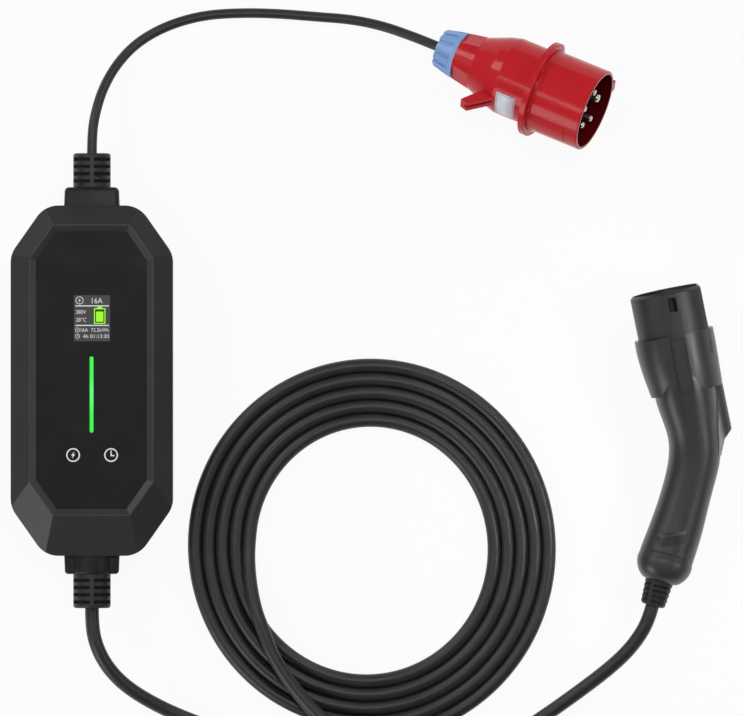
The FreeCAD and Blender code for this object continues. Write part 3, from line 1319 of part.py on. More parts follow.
def connector_tongue(side):
    """The flat inlay on one side of the head."""
    return in_connector(on_side(tongue(0.0, TONGUE_TOP - TONGUE_DEPTH, TONGUE_TOP), side))


def connector_tongue_upper():
    """The inlay that faces up."""
    return connector_tongue(1)


def connector_tongue_lower():
    """The inlay that faces the floor."""
    return connector_tongue(-1)


def rear_cap_form():
    """The outside of the cap that closes the grip."""
    w, h = GRIP_SECTIONS[-1][3:]
    sections = [
        cap_section(0, w, h), cap_section(CAP_LENGTH / 2, w - CAP_BARREL, h - CAP_BARREL),
        cap_section(CAP_LENGTH - CAP_SHOULDER_LENGTH, w - CAP_SHOULDER, h - CAP_SHOULDER),
        cap_section(CAP_LENGTH, CAP_TIP_RADIUS, CAP_TIP_RADIUS)]
    return Part.makeLoft(sections, True)


def connector_rear_cap():
    """The cap that closes the grip round the cord."""
    towards = cap_end(1) - cap_end()
    start = cap_end(-CAP_LENGTH - OVER)
    bore = rod(start, towards, CONNECTOR_RELIEF_NECK_RADIUS + SLIP, CAP_LENGTH + 2 * OVER)
    return in_connector(rear_cap_form().cut(bore))


def connector_strain_relief():
    """The slotted rubber sleeve of the charging cord, with its root in the cap."""
    length = CONNECTOR_RELIEF_LENGTH
    edge = CONNECTOR_RELIEF_EDGE
    body = turned([
        (0, 0), (CONNECTOR_RELIEF_ROOT_RADIUS, 0), (CONNECTOR_RELIEF_TIP_RADIUS, length - edge),
        (CONNECTOR_RELIEF_TIP_RADIUS - edge, length), (0, length)])
    back = -CAP_LENGTH - CONNECTOR_RELIEF_LIP
    body = body.fuse(Part.makeCylinder(CONNECTOR_RELIEF_NECK_RADIUS, -back, V(0, 0, back)))
    body = body.fuse(Part.makeCylinder(CONNECTOR_RELIEF_ROOT_RADIUS, CONNECTOR_RELIEF_LIP, V(0, 0, back)))
    slots = relief_slots(CONNECTOR_RELIEF_ROOT_RADIUS, CONNECTOR_SLOT_ROWS, CONNECTOR_SLOT_START,
                         CONNECTOR_SLOT_PITCH, CONNECTOR_SLOT_WIDTH, CONNECTOR_SLOT_DEPTH, RELIEF_RIB_WIDTH)
    body = body.cut(slots).removeSplitter()
    body.Placement = FreeCAD.Placement(cap_end(), FreeCAD.Rotation(V(0, 0, 1), cap_end(1) - cap_end()))
    return in_connector(body)


def connector_placement():
    """Lays the connector on its side, head and cap on the floor."""
    tip = FreeCAD.Rotation(V(1, 0, 0), CONNECTOR_TILT)
    turn = FreeCAD.Rotation(V(0, 0, 1), CONNECTOR_YAW)
    return FreeCAD.Placement(V(CONNECTOR_X, CONNECTOR_Y, CONNECTOR_HEIGHT), turn.multiply(tip))


def in_connector(solid):
    """Moves a solid from the connector's own frame to its place."""
    solid.Placement = connector_placement().multiply(solid.Placement)
    return solid


# Cords: points chosen by eye along each one, from its exit to its far end
SUPPLY_ROUTE = (
    (0.0, RELIEF_END, GLAND_HEIGHT), (0.0, RELIEF_END + CORD_STRAIGHT, GLAND_HEIGHT), (2.6, 204.0, 26.5),
    (8.2, 222.5, 17.5), (18.5, 241.0, 8.5), (34.0, 257.5, 4.0), (56.0, 270.0, 3.8), (83.0, 278.0, 3.8),
    (112.0, 280.0, 3.8), (141.0, 279.4, 3.8), (170.0, 277.0, 3.8), (197.0, 275.0, 4.2), (221.0, 270.0, 6.8),
    (244.0, 261.8, 11.2))
LEAD_ROUTE = (
    (0.0, -RELIEF_END, GLAND_HEIGHT), (0.0, -RELIEF_END - CORD_STRAIGHT, GLAND_HEIGHT), (4.0, -203.8, 29.2),
    (12.2, -218.6, 26.0), (25.0, -232.0, 20.2), (42.5, -243.5, 13.4), (63.5, -254.0, 8.0),
    (91.0, -264.5, 5.5))
TAIL_ROUTE = (
    (136.0, -207.0, 17.2), (149.5, -229.0, 17.3), (167.0, -250.0, 17.2), (188.0, -268.0, 17.3),
    (212.0, -281.0, 16.0), (238.5, -288.0, 9.8), (266.0, -289.5, 6.0), (295.0, -283.0, 5.4),
    (322.0, -270.0, 5.4), (347.8, -252.8, 5.4), (370.8, -236.3, 6.8), (390.7, -221.2, 10.8),
    (405.6, -207.8, 15.2), (415.6, -195.4, 18.6))
TAIL_RISE = (
    (120.0, -127.0, 5.4), (120.4, -144.0, 7.6), (122.2, -159.5, 13.0), (125.2, -175.5, 16.8))
LEAD_MERGE_X = 150.0
LEAD_MERGE_RUN = 27.0
LEAD_MERGE_GAP = 1.2
TAIL_JOIN = 0.4


def route(points):
    """A list of places as points in space."""
    return [V(*p) for p in points]


def supply_cord():
    """The supply cord, from the box to the plug's nut."""
    axis = plug_placement().multVec(V(0, 0, 1)) - plug_placement().multVec(V(0, 0, 0))
    end = plug_placement().multVec(V(0, 0, 0))
    points = route(SUPPLY_ROUTE) + [end - axis * 9.0, end]
    return tube(points, SUPPLY_CORD_RADIUS, "supply_cord")


def lead_end():
    """Where the charging cord runs into the outer strand of its coil, along x."""
    return V(LEAD_MERGE_X, COIL_CENTRE_Y - COIL_RADIUS_Y - LEAD_MERGE_GAP, CHARGE_CORD_RADIUS)


def tail_start():
    """Where the charging cord has risen out of its coil, between two points of its route."""
    first, last = route((TAIL_RISE[-1], TAIL_ROUTE[0]))
    return first + (last - first) * TAIL_JOIN


def charge_cord_lead():
    """The charging cord, from the box to its coil."""
    end = lead_end()
    points = route(LEAD_ROUTE) + [end - V(LEAD_MERGE_RUN, 0, 0), end]
    return tube(points, CHARGE_CORD_RADIUS, "charge_cord_lead")


def charge_cord_coil():
    """The outer shape of the flat coil, with the two ends of the cord that come out of it."""
    cord = CHARGE_CORD_RADIUS
    centre = V(COIL_CENTRE_X + COIL_PITCH / 4, COIL_CENTRE_Y - COIL_PITCH / 4, 0)
    outer_x = COIL_RADIUS_X - COIL_PITCH / 2 + cord
    outer_y = COIL_RADIUS_Y - COIL_PITCH / 4 + cord
    across = COIL_STRANDS * COIL_PITCH
    ring = elliptic_disc(centre, outer_x, outer_y, 2 * cord)
    ring = ring.cut(elliptic_disc(centre, outer_x - across, outer_y - across, 2 * cord))
    stub = rod(lead_end(), V(1, 0, 0), cord, centre.x - LEAD_MERGE_X)
    rise = tube(route(TAIL_RISE) + [tail_start()], cord)
    return ring.fuse(stub).fuse(rise).removeSplitter()


def elliptic_disc(centre, radius_x, radius_y, height):
    """A flat disc with an elliptic outline."""
    if radius_x > radius_y:
        curve = Part.Ellipse(centre, radius_x, radius_y)
        return Part.Face(Part.Wire([curve.toShape()])).extrude(V(0, 0, height))
    curve = Part.Ellipse(V(0, 0, 0), radius_y, radius_x)
    disc = Part.Face(Part.Wire([curve.toShape()])).extrude(V(0, 0, height))
    disc.rotate(V(0, 0, 0), V(0, 0, 1), 90)
    disc.translate(centre)
    return disc


def charge_cord_tail():
    """The charging cord, from its coil over the strands to the connector."""
    place = connector_placement()
    end = place.multVec(cap_end(CONNECTOR_RELIEF_LENGTH))
    before = place.multVec(cap_end(CONNECTOR_RELIEF_LENGTH + 12.0))
    return tube([tail_start()] + route(TAIL_ROUTE) + [before, end], CHARGE_CORD_RADIUS, "charge_cord_tail")


PIECES = (
    rear_cover, front_cover, cover_seal, front_panel, light_guide, display_module, status_leds, touch_pads,
    display_board, main_board, cover_screws, board_screws, relays, current_sensor, supply_module, board_link,
    input_terminals, output_terminals, terminal_screws, supply_core, charge_core, cord_clamps, clamp_screws,
    top_collar, bottom_collar, top_strain_relief, bottom_strain_relief, plug_gland_nut, plug_cord_seal,
    plug_body, plug_shroud, plug_pin_carrier, plug_phase_pins, plug_earth_pin, connector_shell_upper,
    connector_shell_lower, connector_screws, connector_nose, contact_carrier, power_sockets, signal_sockets,
    connector_tongue_upper, connector_tongue_lower, connector_rear_cap, connector_strain_relief, supply_cord,
    charge_cord_lead, charge_cord_coil, charge_cord_tail)

os.makedirs("parts", exist_ok=True)
for piece in PIECES:
    piece().exportStep("parts/" + piece.__name__ + ".step")
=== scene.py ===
# %% [markdown]
# # A portable car charger, dressed for its photograph
# The CAD model already has every rigid piece in its place, in metres, on a floor at z = 0. This
# lesson keeps those pieces, gives each one a finish, replaces the stiff stand-ins of the cords by
# smooth curves, makes the seats of both glands anew, and adds what is too fine for the CAD model,
# such as the picture on the display.

# %% Load the frame
import math

import bmesh
import bpy
from mathutils import Matrix, Vector
from mathutils.bvhtree import BVHTree


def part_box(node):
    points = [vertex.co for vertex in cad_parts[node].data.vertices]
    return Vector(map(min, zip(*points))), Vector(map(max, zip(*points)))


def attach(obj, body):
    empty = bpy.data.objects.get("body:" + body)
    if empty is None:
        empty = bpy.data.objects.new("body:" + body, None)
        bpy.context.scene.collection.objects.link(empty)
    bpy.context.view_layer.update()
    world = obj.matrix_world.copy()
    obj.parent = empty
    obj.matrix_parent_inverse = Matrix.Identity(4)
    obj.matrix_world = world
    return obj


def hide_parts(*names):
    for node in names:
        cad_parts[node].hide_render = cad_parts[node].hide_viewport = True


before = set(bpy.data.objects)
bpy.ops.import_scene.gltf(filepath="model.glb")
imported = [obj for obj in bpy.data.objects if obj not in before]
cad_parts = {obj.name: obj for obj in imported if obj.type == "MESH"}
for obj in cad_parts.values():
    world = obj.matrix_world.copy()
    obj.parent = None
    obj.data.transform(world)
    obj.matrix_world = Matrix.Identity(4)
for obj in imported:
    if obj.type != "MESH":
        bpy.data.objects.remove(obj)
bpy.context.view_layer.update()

MM = 0.001
print("CAD nodes:", len(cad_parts))

# %% [markdown]
# ## Camera
# The photograph looks straight down, and nothing in it grows towards the camera, so the picture was
# taken from far away through a long lens. One picture width spans 565 mm at about half the height
# of the set. A camera fifteen metres up with a matching lens gives the same view.

# %% Camera
VIEW_WIDTH = 565.4 * MM
VIEW_CENTRE = (212.8 * MM, 17.2 * MM)
CAMERA_HEIGHT = 15.0
VIEW_LEVEL = 30 * MM
FARTHEST = 50.0

lens_data = bpy.data.cameras.new("camera")
lens_data.lens = lens_data.sensor_width * (CAMERA_HEIGHT - VIEW_LEVEL) / VIEW_WIDTH
lens_data.clip_end = FARTHEST
camera = bpy.data.objects.new("camera", lens_data)
camera.location = (*VIEW_CENTRE, CAMERA_HEIGHT)
bpy.context.scene.collection.objects.link(camera)
bpy.context.scene.camera = camera
bpy.context.scene.view_settings.view_transform = "Standard"
print("lens", round(lens_data.lens), "mm")

# %% [markdown]
# ## A small language for finishes
# A material in Blender is a graph of nodes, and arithmetic on its values needs one Math node for
# each sign. The class below wraps an output so that Python's own signs add those nodes: mask * 0.3
# and 1 - mask read as they are meant. Every other node comes from one method, Finish.node.

# %% Values that can be calculated with
class Value:
    """An output of a node, with arithmetic that adds Math nodes."""

    def __init__(self, tree, socket):
        self.tree = tree
        self.socket = socket

    def math(self, operation, *others, swap=False):
        node = self.tree.nodes.new("ShaderNodeMath")
        node.operation = operation
        for i, value in enumerate(reversed((self, *others)) if swap else (self, *others)):
            if isinstance(value, Value):
                self.tree.links.new(value.socket, node.inputs[i])
            else:
                node.inputs[i].default_value = value
        return Value(self.tree, node.outputs[0])

    def __add__(self, other):
        return self.math("ADD", other)

    __radd__ = __add__

    def __mul__(self, other):
        return self.math("MULTIPLY", other)

    __rmul__ = __mul__

    def __sub__(self, other):
        return self.math("SUBTRACT", other)

    def __rsub__(self, other):
        return self.math("SUBTRACT", other, swap=True)

    def step(self, low, high):
        """0 below low, 1 above high, and an even rise between them."""
        rise = (self - low) * (1 / (high - low))
        rise.socket.node.use_clamp = True
        return rise


# %% A material with a name, a shader and a way to add nodes
def shade(colour, factor):
    """A colour made lighter or darker, with alpha."""
    return (*[min(1.0, c * factor) for c in colour], 1.0)


def uneven(noise, middle, change):
    """A number near its middle value, which a noise moves over a small change."""
    return noise * change + (middle - change / 2)


class Finish:
    """A material whose Principled shader takes plain numbers and linked values."""

    def __init__(self, name, **numbers):
        self.material = bpy.data.materials.new(name)
        self.material.use_nodes = True
        self.tree = self.material.node_tree
        self.shader = self.tree.nodes["Principled BSDF"]
        for label, number in numbers.items():
            self.set(label, number)

    def set(self, label, value):
        """Sets or links a socket of the shader: base_color is its Base Color."""
        socket = self.shader.inputs[label.replace("_", " ").title().replace("Ior", "IOR")]
        if isinstance(value, Value):
            self.tree.links.new(value.socket, socket)
        else:
            socket.default_value = value

    def node(self, kind, settings=None, output=0, **inputs):
        """Adds a node, changes its settings, fills its sockets and returns one output."""
        node = self.tree.nodes.new("ShaderNode" + kind)
        for name, value in (settings or {}).items():
            setattr(node, name, value)
        for name, value in inputs.items():
            numbered = name[0] == "i" and name[1:].isdigit()
            socket = node.inputs[int(name[1:]) if numbered else name.replace("_", " ")]
            if isinstance(value, Value):
                self.tree.links.new(value.socket, socket)
            else:
                socket.default_value = value
        return Value(self.tree, node.outputs[output])

    def own(self):
        """The Principled shader itself, to be mixed with another shader."""
        return Value(self.tree, self.shader.outputs[0])

    def surface(self, shader):
        """Gives the material another shader than the Principled one alone."""
        self.tree.links.new(shader.socket, self.tree.nodes["Material Output"].inputs["Surface"])

    def place(self):
        """Object coordinates: metres in the frame, because every piece's object is at the origin."""
        return self.node("TexCoord", output="Object")

    def noise(self, scale, detail=2.0):
        """Noise between 0 and 1; scale is in waves to the metre."""
        return self.node("TexNoise", Vector=self.place(), Scale=scale, Detail=detail)

    def apart(self, point):
        """The way from a point in millimetres to the place that is shaded, in metres."""
        start = tuple(c * MM for c in point)
        return self.node("VectorMath", {"operation": "SUBTRACT"}, i0=self.place(), i1=start)

    def off_axis(self, point, axis):
        """The distance from a line through a point in millimetres along a unit axis, in metres."""
        across = self.node("VectorMath", {"operation": "CROSS_PRODUCT"}, i0=self.apart(point),
                           i1=tuple(axis))
        return self.node("VectorMath", {"operation": "LENGTH"}, output=1, i0=across)

    def along(self, point, axis):
        """How far along a unit axis a place lies from a point in millimetres, in metres."""
        return self.node("VectorMath", {"operation": "DOT_PRODUCT"}, output=1, i0=self.apart(point),
                         i1=tuple(axis))

    def blend(self, factor, first, second):
        """A colour between two colours."""
        return self.node("Mix", {"data_type": "RGBA"}, output=2, Factor=factor, i6=first, i7=second)

    def mottle(self, noise, colour, spread):
        """A colour that a noise makes darker and lighter by up to a share of it."""
        return self.blend(noise.step(0.3, 0.7), shade(colour, 1 - spread), shade(colour, 1 + spread))

    def bump(self, height, distance, strength):
        """Lifts the surface by a height times a distance in metres."""
        self.set("normal", self.node("Bump", Height=height, Distance=distance, Strength=strength))


# %% [markdown]
# ## Moulded plastics
# The box, the glands and the connector are dark moulded plastic with a fine grain from the mould.
# The grain is real relief but only a few hundredths of a millimetre deep, so a Bump node on fine
# noise gives it. A second, wide noise varies the colour and the gloss a little, as handling does.

# %% Plastics
HANDLING_WAVES, HANDLING_GLOSS = 22.0, 0.06
GRAIN_DEPTH = 0.03 * MM


def moulded(name, colour, roughness, grain=3500.0, spread=0.10, **extra):
    """Plastic with a mould's grain and a little change of colour and gloss."""
    finish = Finish(name, **extra)
    wide = finish.noise(HANDLING_WAVES, detail=3.0)
    finish.set("base_color", finish.mottle(wide, colour, spread))
    finish.set("roughness", uneven(wide, roughness, HANDLING_GLOSS))
    finish.bump(finish.noise(grain), GRAIN_DEPTH, strength=0.35)
    return finish.material


housing = moulded("housing", (0.0245, 0.0228, 0.0235), 0.40)
gland = moulded("gland", (0.0125, 0.0118, 0.0121), 0.42, specular_ior_level=0.3)
nose = moulded("nose", (0.022, 0.022, 0.0225), 0.42, grain=2600.0)
inner_dark = moulded("inner_dark", (0.03, 0.03, 0.035), 0.5)
relay_case = moulded("relay_case", (0.02, 0.06, 0.22), 0.35)
terminal_case = moulded("terminal_case", (0.10, 0.34, 0.14), 0.4)
plug_insert = moulded("plug_insert", (0.030, 0.003, 0.005), 0.5)
plug_nut = moulded("plug_nut", (0.24, 0.42, 0.76), 0.42, grain=2500.0, spread=0.06)
print("materials with the plastics:", len(bpy.data.materials))

# %% [markdown]
# ## Rubber
# Cords and sleeves are thermoplastic rubber: nearly black, with a satin gloss and a skin that is
# never quite even. Noise at two sizes feeds the bump, one for the skin and a weaker, wide one for
# the slight waves that a cord keeps from its drum. The sleeves' slots get painted shade at their
# bottom, and a mask on the distance from the sleeve's axis says where that is.

# %% Rubbers
RUBBER_WAVES, RUBBER_GLOSS = 60.0, 0.10
SKIN_GRAIN = 1400.0


def rubber(name, colour, roughness, depth):
    """Satin rubber with an uneven skin."""
    finish = Finish(name)
    wide = finish.noise(RUBBER_WAVES)
    finish.set("base_color", finish.mottle(wide, colour, spread=0.12))
    finish.set("roughness", uneven(wide, roughness, RUBBER_GLOSS))
    finish.bump(finish.noise(SKIN_GRAIN) + wide * 0.5, depth, strength=0.22)
    return finish.material


cord_rubber = rubber("cord_rubber", (0.0205, 0.0198, 0.0205), 0.42, 0.03 * MM)
seal_rubber = rubber("seal_rubber", (0.02, 0.02, 0.02), 0.6, 0.05 * MM)

# %% Sleeves with slots
# Painted shade: the sleeve's colour is darkened at the bottom of its slots, where shade falls.
SLEEVE_COLOUR, SLOT_PAINTED_SHADE = (0.0125, 0.0118, 0.0122), 0.3
SKIN_ROUGHNESS, SLOT_ROUGHNESS = 0.47, 0.77
SLEEVE_GRAIN, SLEEVE_GRAIN_DEPTH = 900.0, 0.04 * MM
GLAND_CENTRE, GLAND_AXIS = (0.0, 0.0, 30.0), (0.0, 1.0, 0.0)
GLAND_SLOT_FLOOR, GLAND_SKIN = 12.6, 13.7
CONNECTOR_SLEEVE_POINT, CONNECTOR_SLEEVE_AXIS = (431.364, -152.067, 21.952), (-0.26919, -0.9618, -0.04974)
CONNECTOR_SLOT_FLOOR, CONNECTOR_SKIN = 8.6, 9.5


def slotted_sleeve(name, point, axis, floor, skin):
    """Sleeve rubber with painted shade in its slots: floor and skin are distances from the sleeve's axis in
    mm.
    """
    finish = Finish(name)
    wide = finish.noise(RUBBER_WAVES)
    # Painted shade: a mask on the distance from the axis marks the slot bottoms, which take the darkened
    # colour.
    beyond_painted_shade = finish.off_axis(point, axis).step(floor * MM, skin * MM)
    painted_slot_shade, on_skin = shade(SLEEVE_COLOUR, SLOT_PAINTED_SHADE), shade(SLEEVE_COLOUR, 1.0)
    finish.set("base_color", finish.blend(beyond_painted_shade, painted_slot_shade, on_skin))
    roughness = uneven(wide, SLOT_ROUGHNESS, RUBBER_GLOSS) - beyond_painted_shade * (SLOT_ROUGHNESS - SKIN_ROUGHNESS)
    finish.set("roughness", roughness)
    finish.bump(finish.noise(SLEEVE_GRAIN, detail=3.0), SLEEVE_GRAIN_DEPTH, strength=0.4)
    return finish.material


gland_sleeve = slotted_sleeve("gland_sleeve", GLAND_CENTRE, GLAND_AXIS, GLAND_SLOT_FLOOR, GLAND_SKIN)
connector_sleeve = slotted_sleeve("connector_sleeve", CONNECTOR_SLEEVE_POINT, CONNECTOR_SLEEVE_AXIS,
                                  CONNECTOR_SLOT_FLOOR, CONNECTOR_SKIN)
print("materials with the rubbers:", len(bpy.data.materials))

# %% [markdown]
# ## The handle's parting line
# Near its sleeve the handle has a line round it where two mouldings meet. It is a hair wide, so it
# comes from the finish: the distance from a plane across the sleeve's axis gives a mask that
# darkens the colour and presses the surface in.

# %% The handle's plastic with its parting line
HANDLE_COLOUR, SEAM_COLOUR = (0.033, 0.033, 0.033), (0.004, 0.004, 0.004, 1.0)
SEAM_UP, SEAM_HALF, SEAM_DEPTH = 22.0, 0.2, 0.45
HANDLE_GRAIN, GRAIN_TO_SEAM = 3000.0, 0.04

handle_finish = Finish("handle")
worn = handle_finish.noise(HANDLING_WAVES, detail=3.0)
from_seam = handle_finish.along(CONNECTOR_SLEEVE_POINT, CONNECTOR_SLEEVE_AXIS) + SEAM_UP * MM
seam = 1 - from_seam.math("ABSOLUTE").step(SEAM_HALF * MM, 3 * SEAM_HALF * MM)
handle_finish.set("base_color", handle_finish.blend(
    seam, handle_finish.mottle(worn, HANDLE_COLOUR, spread=0.091), SEAM_COLOUR))
handle_finish.set("roughness", uneven(worn, 0.35, HANDLING_GLOSS))
relief = handle_finish.noise(HANDLE_GRAIN) * GRAIN_TO_SEAM - seam
handle_finish.bump(relief, SEAM_DEPTH * MM, strength=0.8)
handle = handle_finish.material
print("parting line", SEAM_UP, "mm before the sleeve")

# %% [markdown]
# ## Gloss, glass and light
# The front panel is polished black acrylic, so it is nearly a dark mirror, with faint smears that
# change only its gloss. The light bar is milky plastic lit from behind: it glows, more in its
# middle and less at its rims, which masks along and across it give to the emission colour.

# %% Panel and display glass
PANEL_ROUGHNESS, SMEAR_ROUGHNESS = 0.12, 0.04
panel_finish = Finish("front_panel", base_color=(0.0150, 0.0150, 0.0154, 1.0))
smear = panel_finish.noise(35.0, detail=4.0).step(0.45, 0.75)
panel_finish.set("roughness", smear * SMEAR_ROUGHNESS + PANEL_ROUGHNESS)
front_panel = panel_finish.material

glass_finish = Finish("display_glass", roughness=0.12, emission_strength=0.35,
                      emission_color=(0.055, 0.055, 0.057, 1.0))
haze_dark, haze_light = (0.045, 0.045, 0.047, 1.0), (0.055, 0.055, 0.058, 1.0)
glass_finish.set("base_color", glass_finish.blend(glass_finish.noise(60.0), haze_dark, haze_light))
display_glass = glass_finish.material
print("panel and display glass:", front_panel.name, display_glass.name)

# %% Light bar
BAR_BRIGHTEST, BAR_GREEN = (0.10, 1.0, 0.17, 1.0), (0.012, 0.84, 0.035, 1.0)
BAR_RIM = (0.004, 0.16, 0.010, 1.0)
BAR_MIDDLE = 0.15 * MM
BRIGHT_TO, GREEN_FROM = 3 * MM, 14 * MM
RIM_FROM, RIM_TO = 1.0 * MM, 1.5 * MM

bar_low, bar_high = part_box("light_guide")
bar_finish = Finish("light_bar", base_color=(0.01, 0.12, 0.02, 1.0), roughness=0.35, emission_strength=1.0)
across_bar, along_bar = (bar_finish.node("SeparateXYZ", output=i, Vector=bar_finish.place()) for i in (0, 1))
from_middle = (along_bar - (bar_low.y + bar_high.y) / 2).math("ABSOLUTE")
from_axis = (across_bar - BAR_MIDDLE).math("ABSOLUTE")
bar_glow = bar_finish.blend(from_middle.step(BRIGHT_TO, GREEN_FROM), BAR_BRIGHTEST, BAR_GREEN)
bar_finish.set("emission_color", bar_finish.blend(from_axis.step(RIM_FROM, RIM_TO), bar_glow, BAR_RIM))
light_bar = bar_finish.material
print("light bar", round((bar_high.y - bar_low.y) / MM, 1), "mm long")

# %% [markdown]
# ## The plug's red and the metals
# The plug is glossy polyamide with a slight orange-peel from the mould. Its pins are nickel-plated
# brass, and the screws are zinc-plated steel with marks from turning.

# %% The plug's own frame
PLUG_BACK = (265.2, 253.2, 14.086)
PLUG_YAW, PLUG_TILT = math.radians(-22.5), math.radians(15.249)
along_plug = Vector((math.cos(PLUG_YAW) * math.cos(PLUG_TILT), math.sin(PLUG_YAW) * math.cos(PLUG_TILT),
                     math.sin(PLUG_TILT)))
beside_plug = Vector((math.sin(PLUG_YAW), -math.cos(PLUG_YAW), 0.0))
over_plug = beside_plug.cross(along_plug)
plug_frame = Matrix((over_plug, beside_plug, along_plug)).transposed().to_4x4()
plug_frame.translation = Vector(PLUG_BACK)
print("plug's axis", [round(c, 3) for c in along_plug])

# %% Red plastic
RED_DEEP, RED_LIGHT = (0.555, 0.016, 0.023, 1.0), (0.625, 0.020, 0.028, 1.0)
# Painted shade: the inside of the shroud takes a much darker red, where shade falls in its deep mouth.
RED_PAINTED_SHADE = (0.10, 0.002, 0.004, 1.0)
PEEL_WAVES, PEEL_DEPTH = 500.0, 0.05 * MM
WALL_INSIDE, WALL_OUTSIDE = 29.5 * MM, 29.8 * MM
SHROUD_FROM, SHROUD_FULL = 96 * MM, 98 * MM

red_finish = Finish("plug_red", specular_ior_level=0.22)
red_wide = red_finish.noise(40.0)
# Painted shade: within the shroud's wall and beyond where the shroud starts, the red turns dark.
past_wall = red_finish.off_axis(PLUG_BACK, along_plug).step(WALL_INSIDE, WALL_OUTSIDE)
behind_shroud = 1 - red_finish.along(PLUG_BACK, along_plug).step(SHROUD_FROM, SHROUD_FULL)
beyond_painted_shade = past_wall.math("MAXIMUM", behind_shroud)
red_finish.set("base_color", red_finish.blend(
    beyond_painted_shade, RED_PAINTED_SHADE, red_finish.blend(red_wide, RED_DEEP, RED_LIGHT)))
red_finish.set("roughness", uneven(red_wide, middle=0.18, change=0.06))
red_finish.bump(red_finish.noise(PEEL_WAVES), PEEL_DEPTH, strength=0.25)
plug_red = red_finish.material
print("inside of the shroud: within", round(WALL_INSIDE / MM, 1), "mm of the plug's axis")

# %% Metals
METAL_GLOSS = 0.12


def metal(name, colour, roughness, grain):
    """Plated metal with fine marks."""
    finish = Finish(name, metallic=1.0)
    marks = finish.noise(grain, detail=3.0)
    finish.set("base_color", finish.blend(marks, shade(colour, 0.9), shade(colour, 1.05)))
    finish.set("roughness", uneven(marks, roughness, METAL_GLOSS))
    return finish.material


pin_metal = metal("pin_metal", (0.72, 0.71, 0.69), 0.26, grain=700.0)
contact_metal = metal("contact_metal", (0.70, 0.70, 0.71), 0.25, grain=900.0)
screw_metal = metal("screw_metal", (0.55, 0.55, 0.56), 0.34, grain=1200.0)
print("materials with the metals:", len(bpy.data.materials))

# %% Circuit boards
TRACK_COLOUR, LACQUER = (0.03, 0.25, 0.11, 1.0), (0.015, 0.13, 0.055, 1.0)
TRACK_CELLS = 180.0
board_finish = Finish("board", roughness=0.35)
off_track = board_finish.node("TexVoronoi", {"feature": "DISTANCE_TO_EDGE"}, Vector=board_finish.place(),
                              Scale=TRACK_CELLS)
board_finish.set("base_color", board_finish.blend(off_track.step(0.02, 0.06), TRACK_COLOUR, LACQUER))
board_green = board_finish.material
print("materials with the boards:", len(bpy.data.materials))

# %% [markdown]
# ## Dress the CAD nodes
# A node whose shape is right stays and only takes a finish. One list from finish to nodes says
# which, and the last line prints any node that was forgotten.

# %% Give every node its finish
DRESSED = {
    housing: ["rear_cover", "front_cover"],
    front_panel: ["front_panel"],
    display_glass: ["display_module"],
    light_bar: ["light_guide", "status_leds"],
    seal_rubber: ["cover_seal", "plug_cord_seal"],
    board_green: ["display_board", "main_board"],
    screw_metal: ["cover_screws", "board_screws", "terminal_screws", "clamp_screws", "connector_screws"],
    relay_case: ["relays"],
    inner_dark: ["current_sensor", "supply_module", "board_link", "cord_clamps"],
    terminal_case: ["input_terminals", "output_terminals"],
    cord_rubber: ["supply_core", "charge_core", "supply_cord", "charge_cord_lead", "charge_cord_coil",
                  "charge_cord_tail"],
    gland: ["top_collar", "bottom_collar"],
    gland_sleeve: ["top_strain_relief", "bottom_strain_relief"],
    connector_sleeve: ["connector_strain_relief"],
    plug_nut: ["plug_gland_nut"],
    plug_red: ["plug_body", "plug_shroud"],
    plug_insert: ["plug_pin_carrier"],
    pin_metal: ["plug_phase_pins", "plug_earth_pin"],
    contact_metal: ["touch_pads", "power_sockets", "signal_sockets"],
    handle: ["connector_shell_upper", "connector_shell_lower", "connector_tongue_upper",
             "connector_tongue_lower", "connector_rear_cap"],
    nose: ["connector_nose", "contact_carrier"]}

left = set(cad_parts)
for finish, names in DRESSED.items():
    for name in names:
        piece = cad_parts[name]
        piece.data.materials.clear()
        piece.data.materials.append(finish)
        left.discard(name)
print("nodes without a finish:", sorted(left))

# %% [markdown]
# ## What shows on the front panel
# The display's picture and the two key signs are thin prints. Each colour is one piece: a class
# collects its flat shapes in one mesh and lays them on the panel at the end. Rectangles come from a
# grid, rings from a circle with an inset, words from a text curve that is fitted to its box. All the
# sizes are millimetres across and along the panel.

# %% Flat shapes of one colour
PRINT_HEIGHT = 0.03 * MM
RING_SIDES = 64


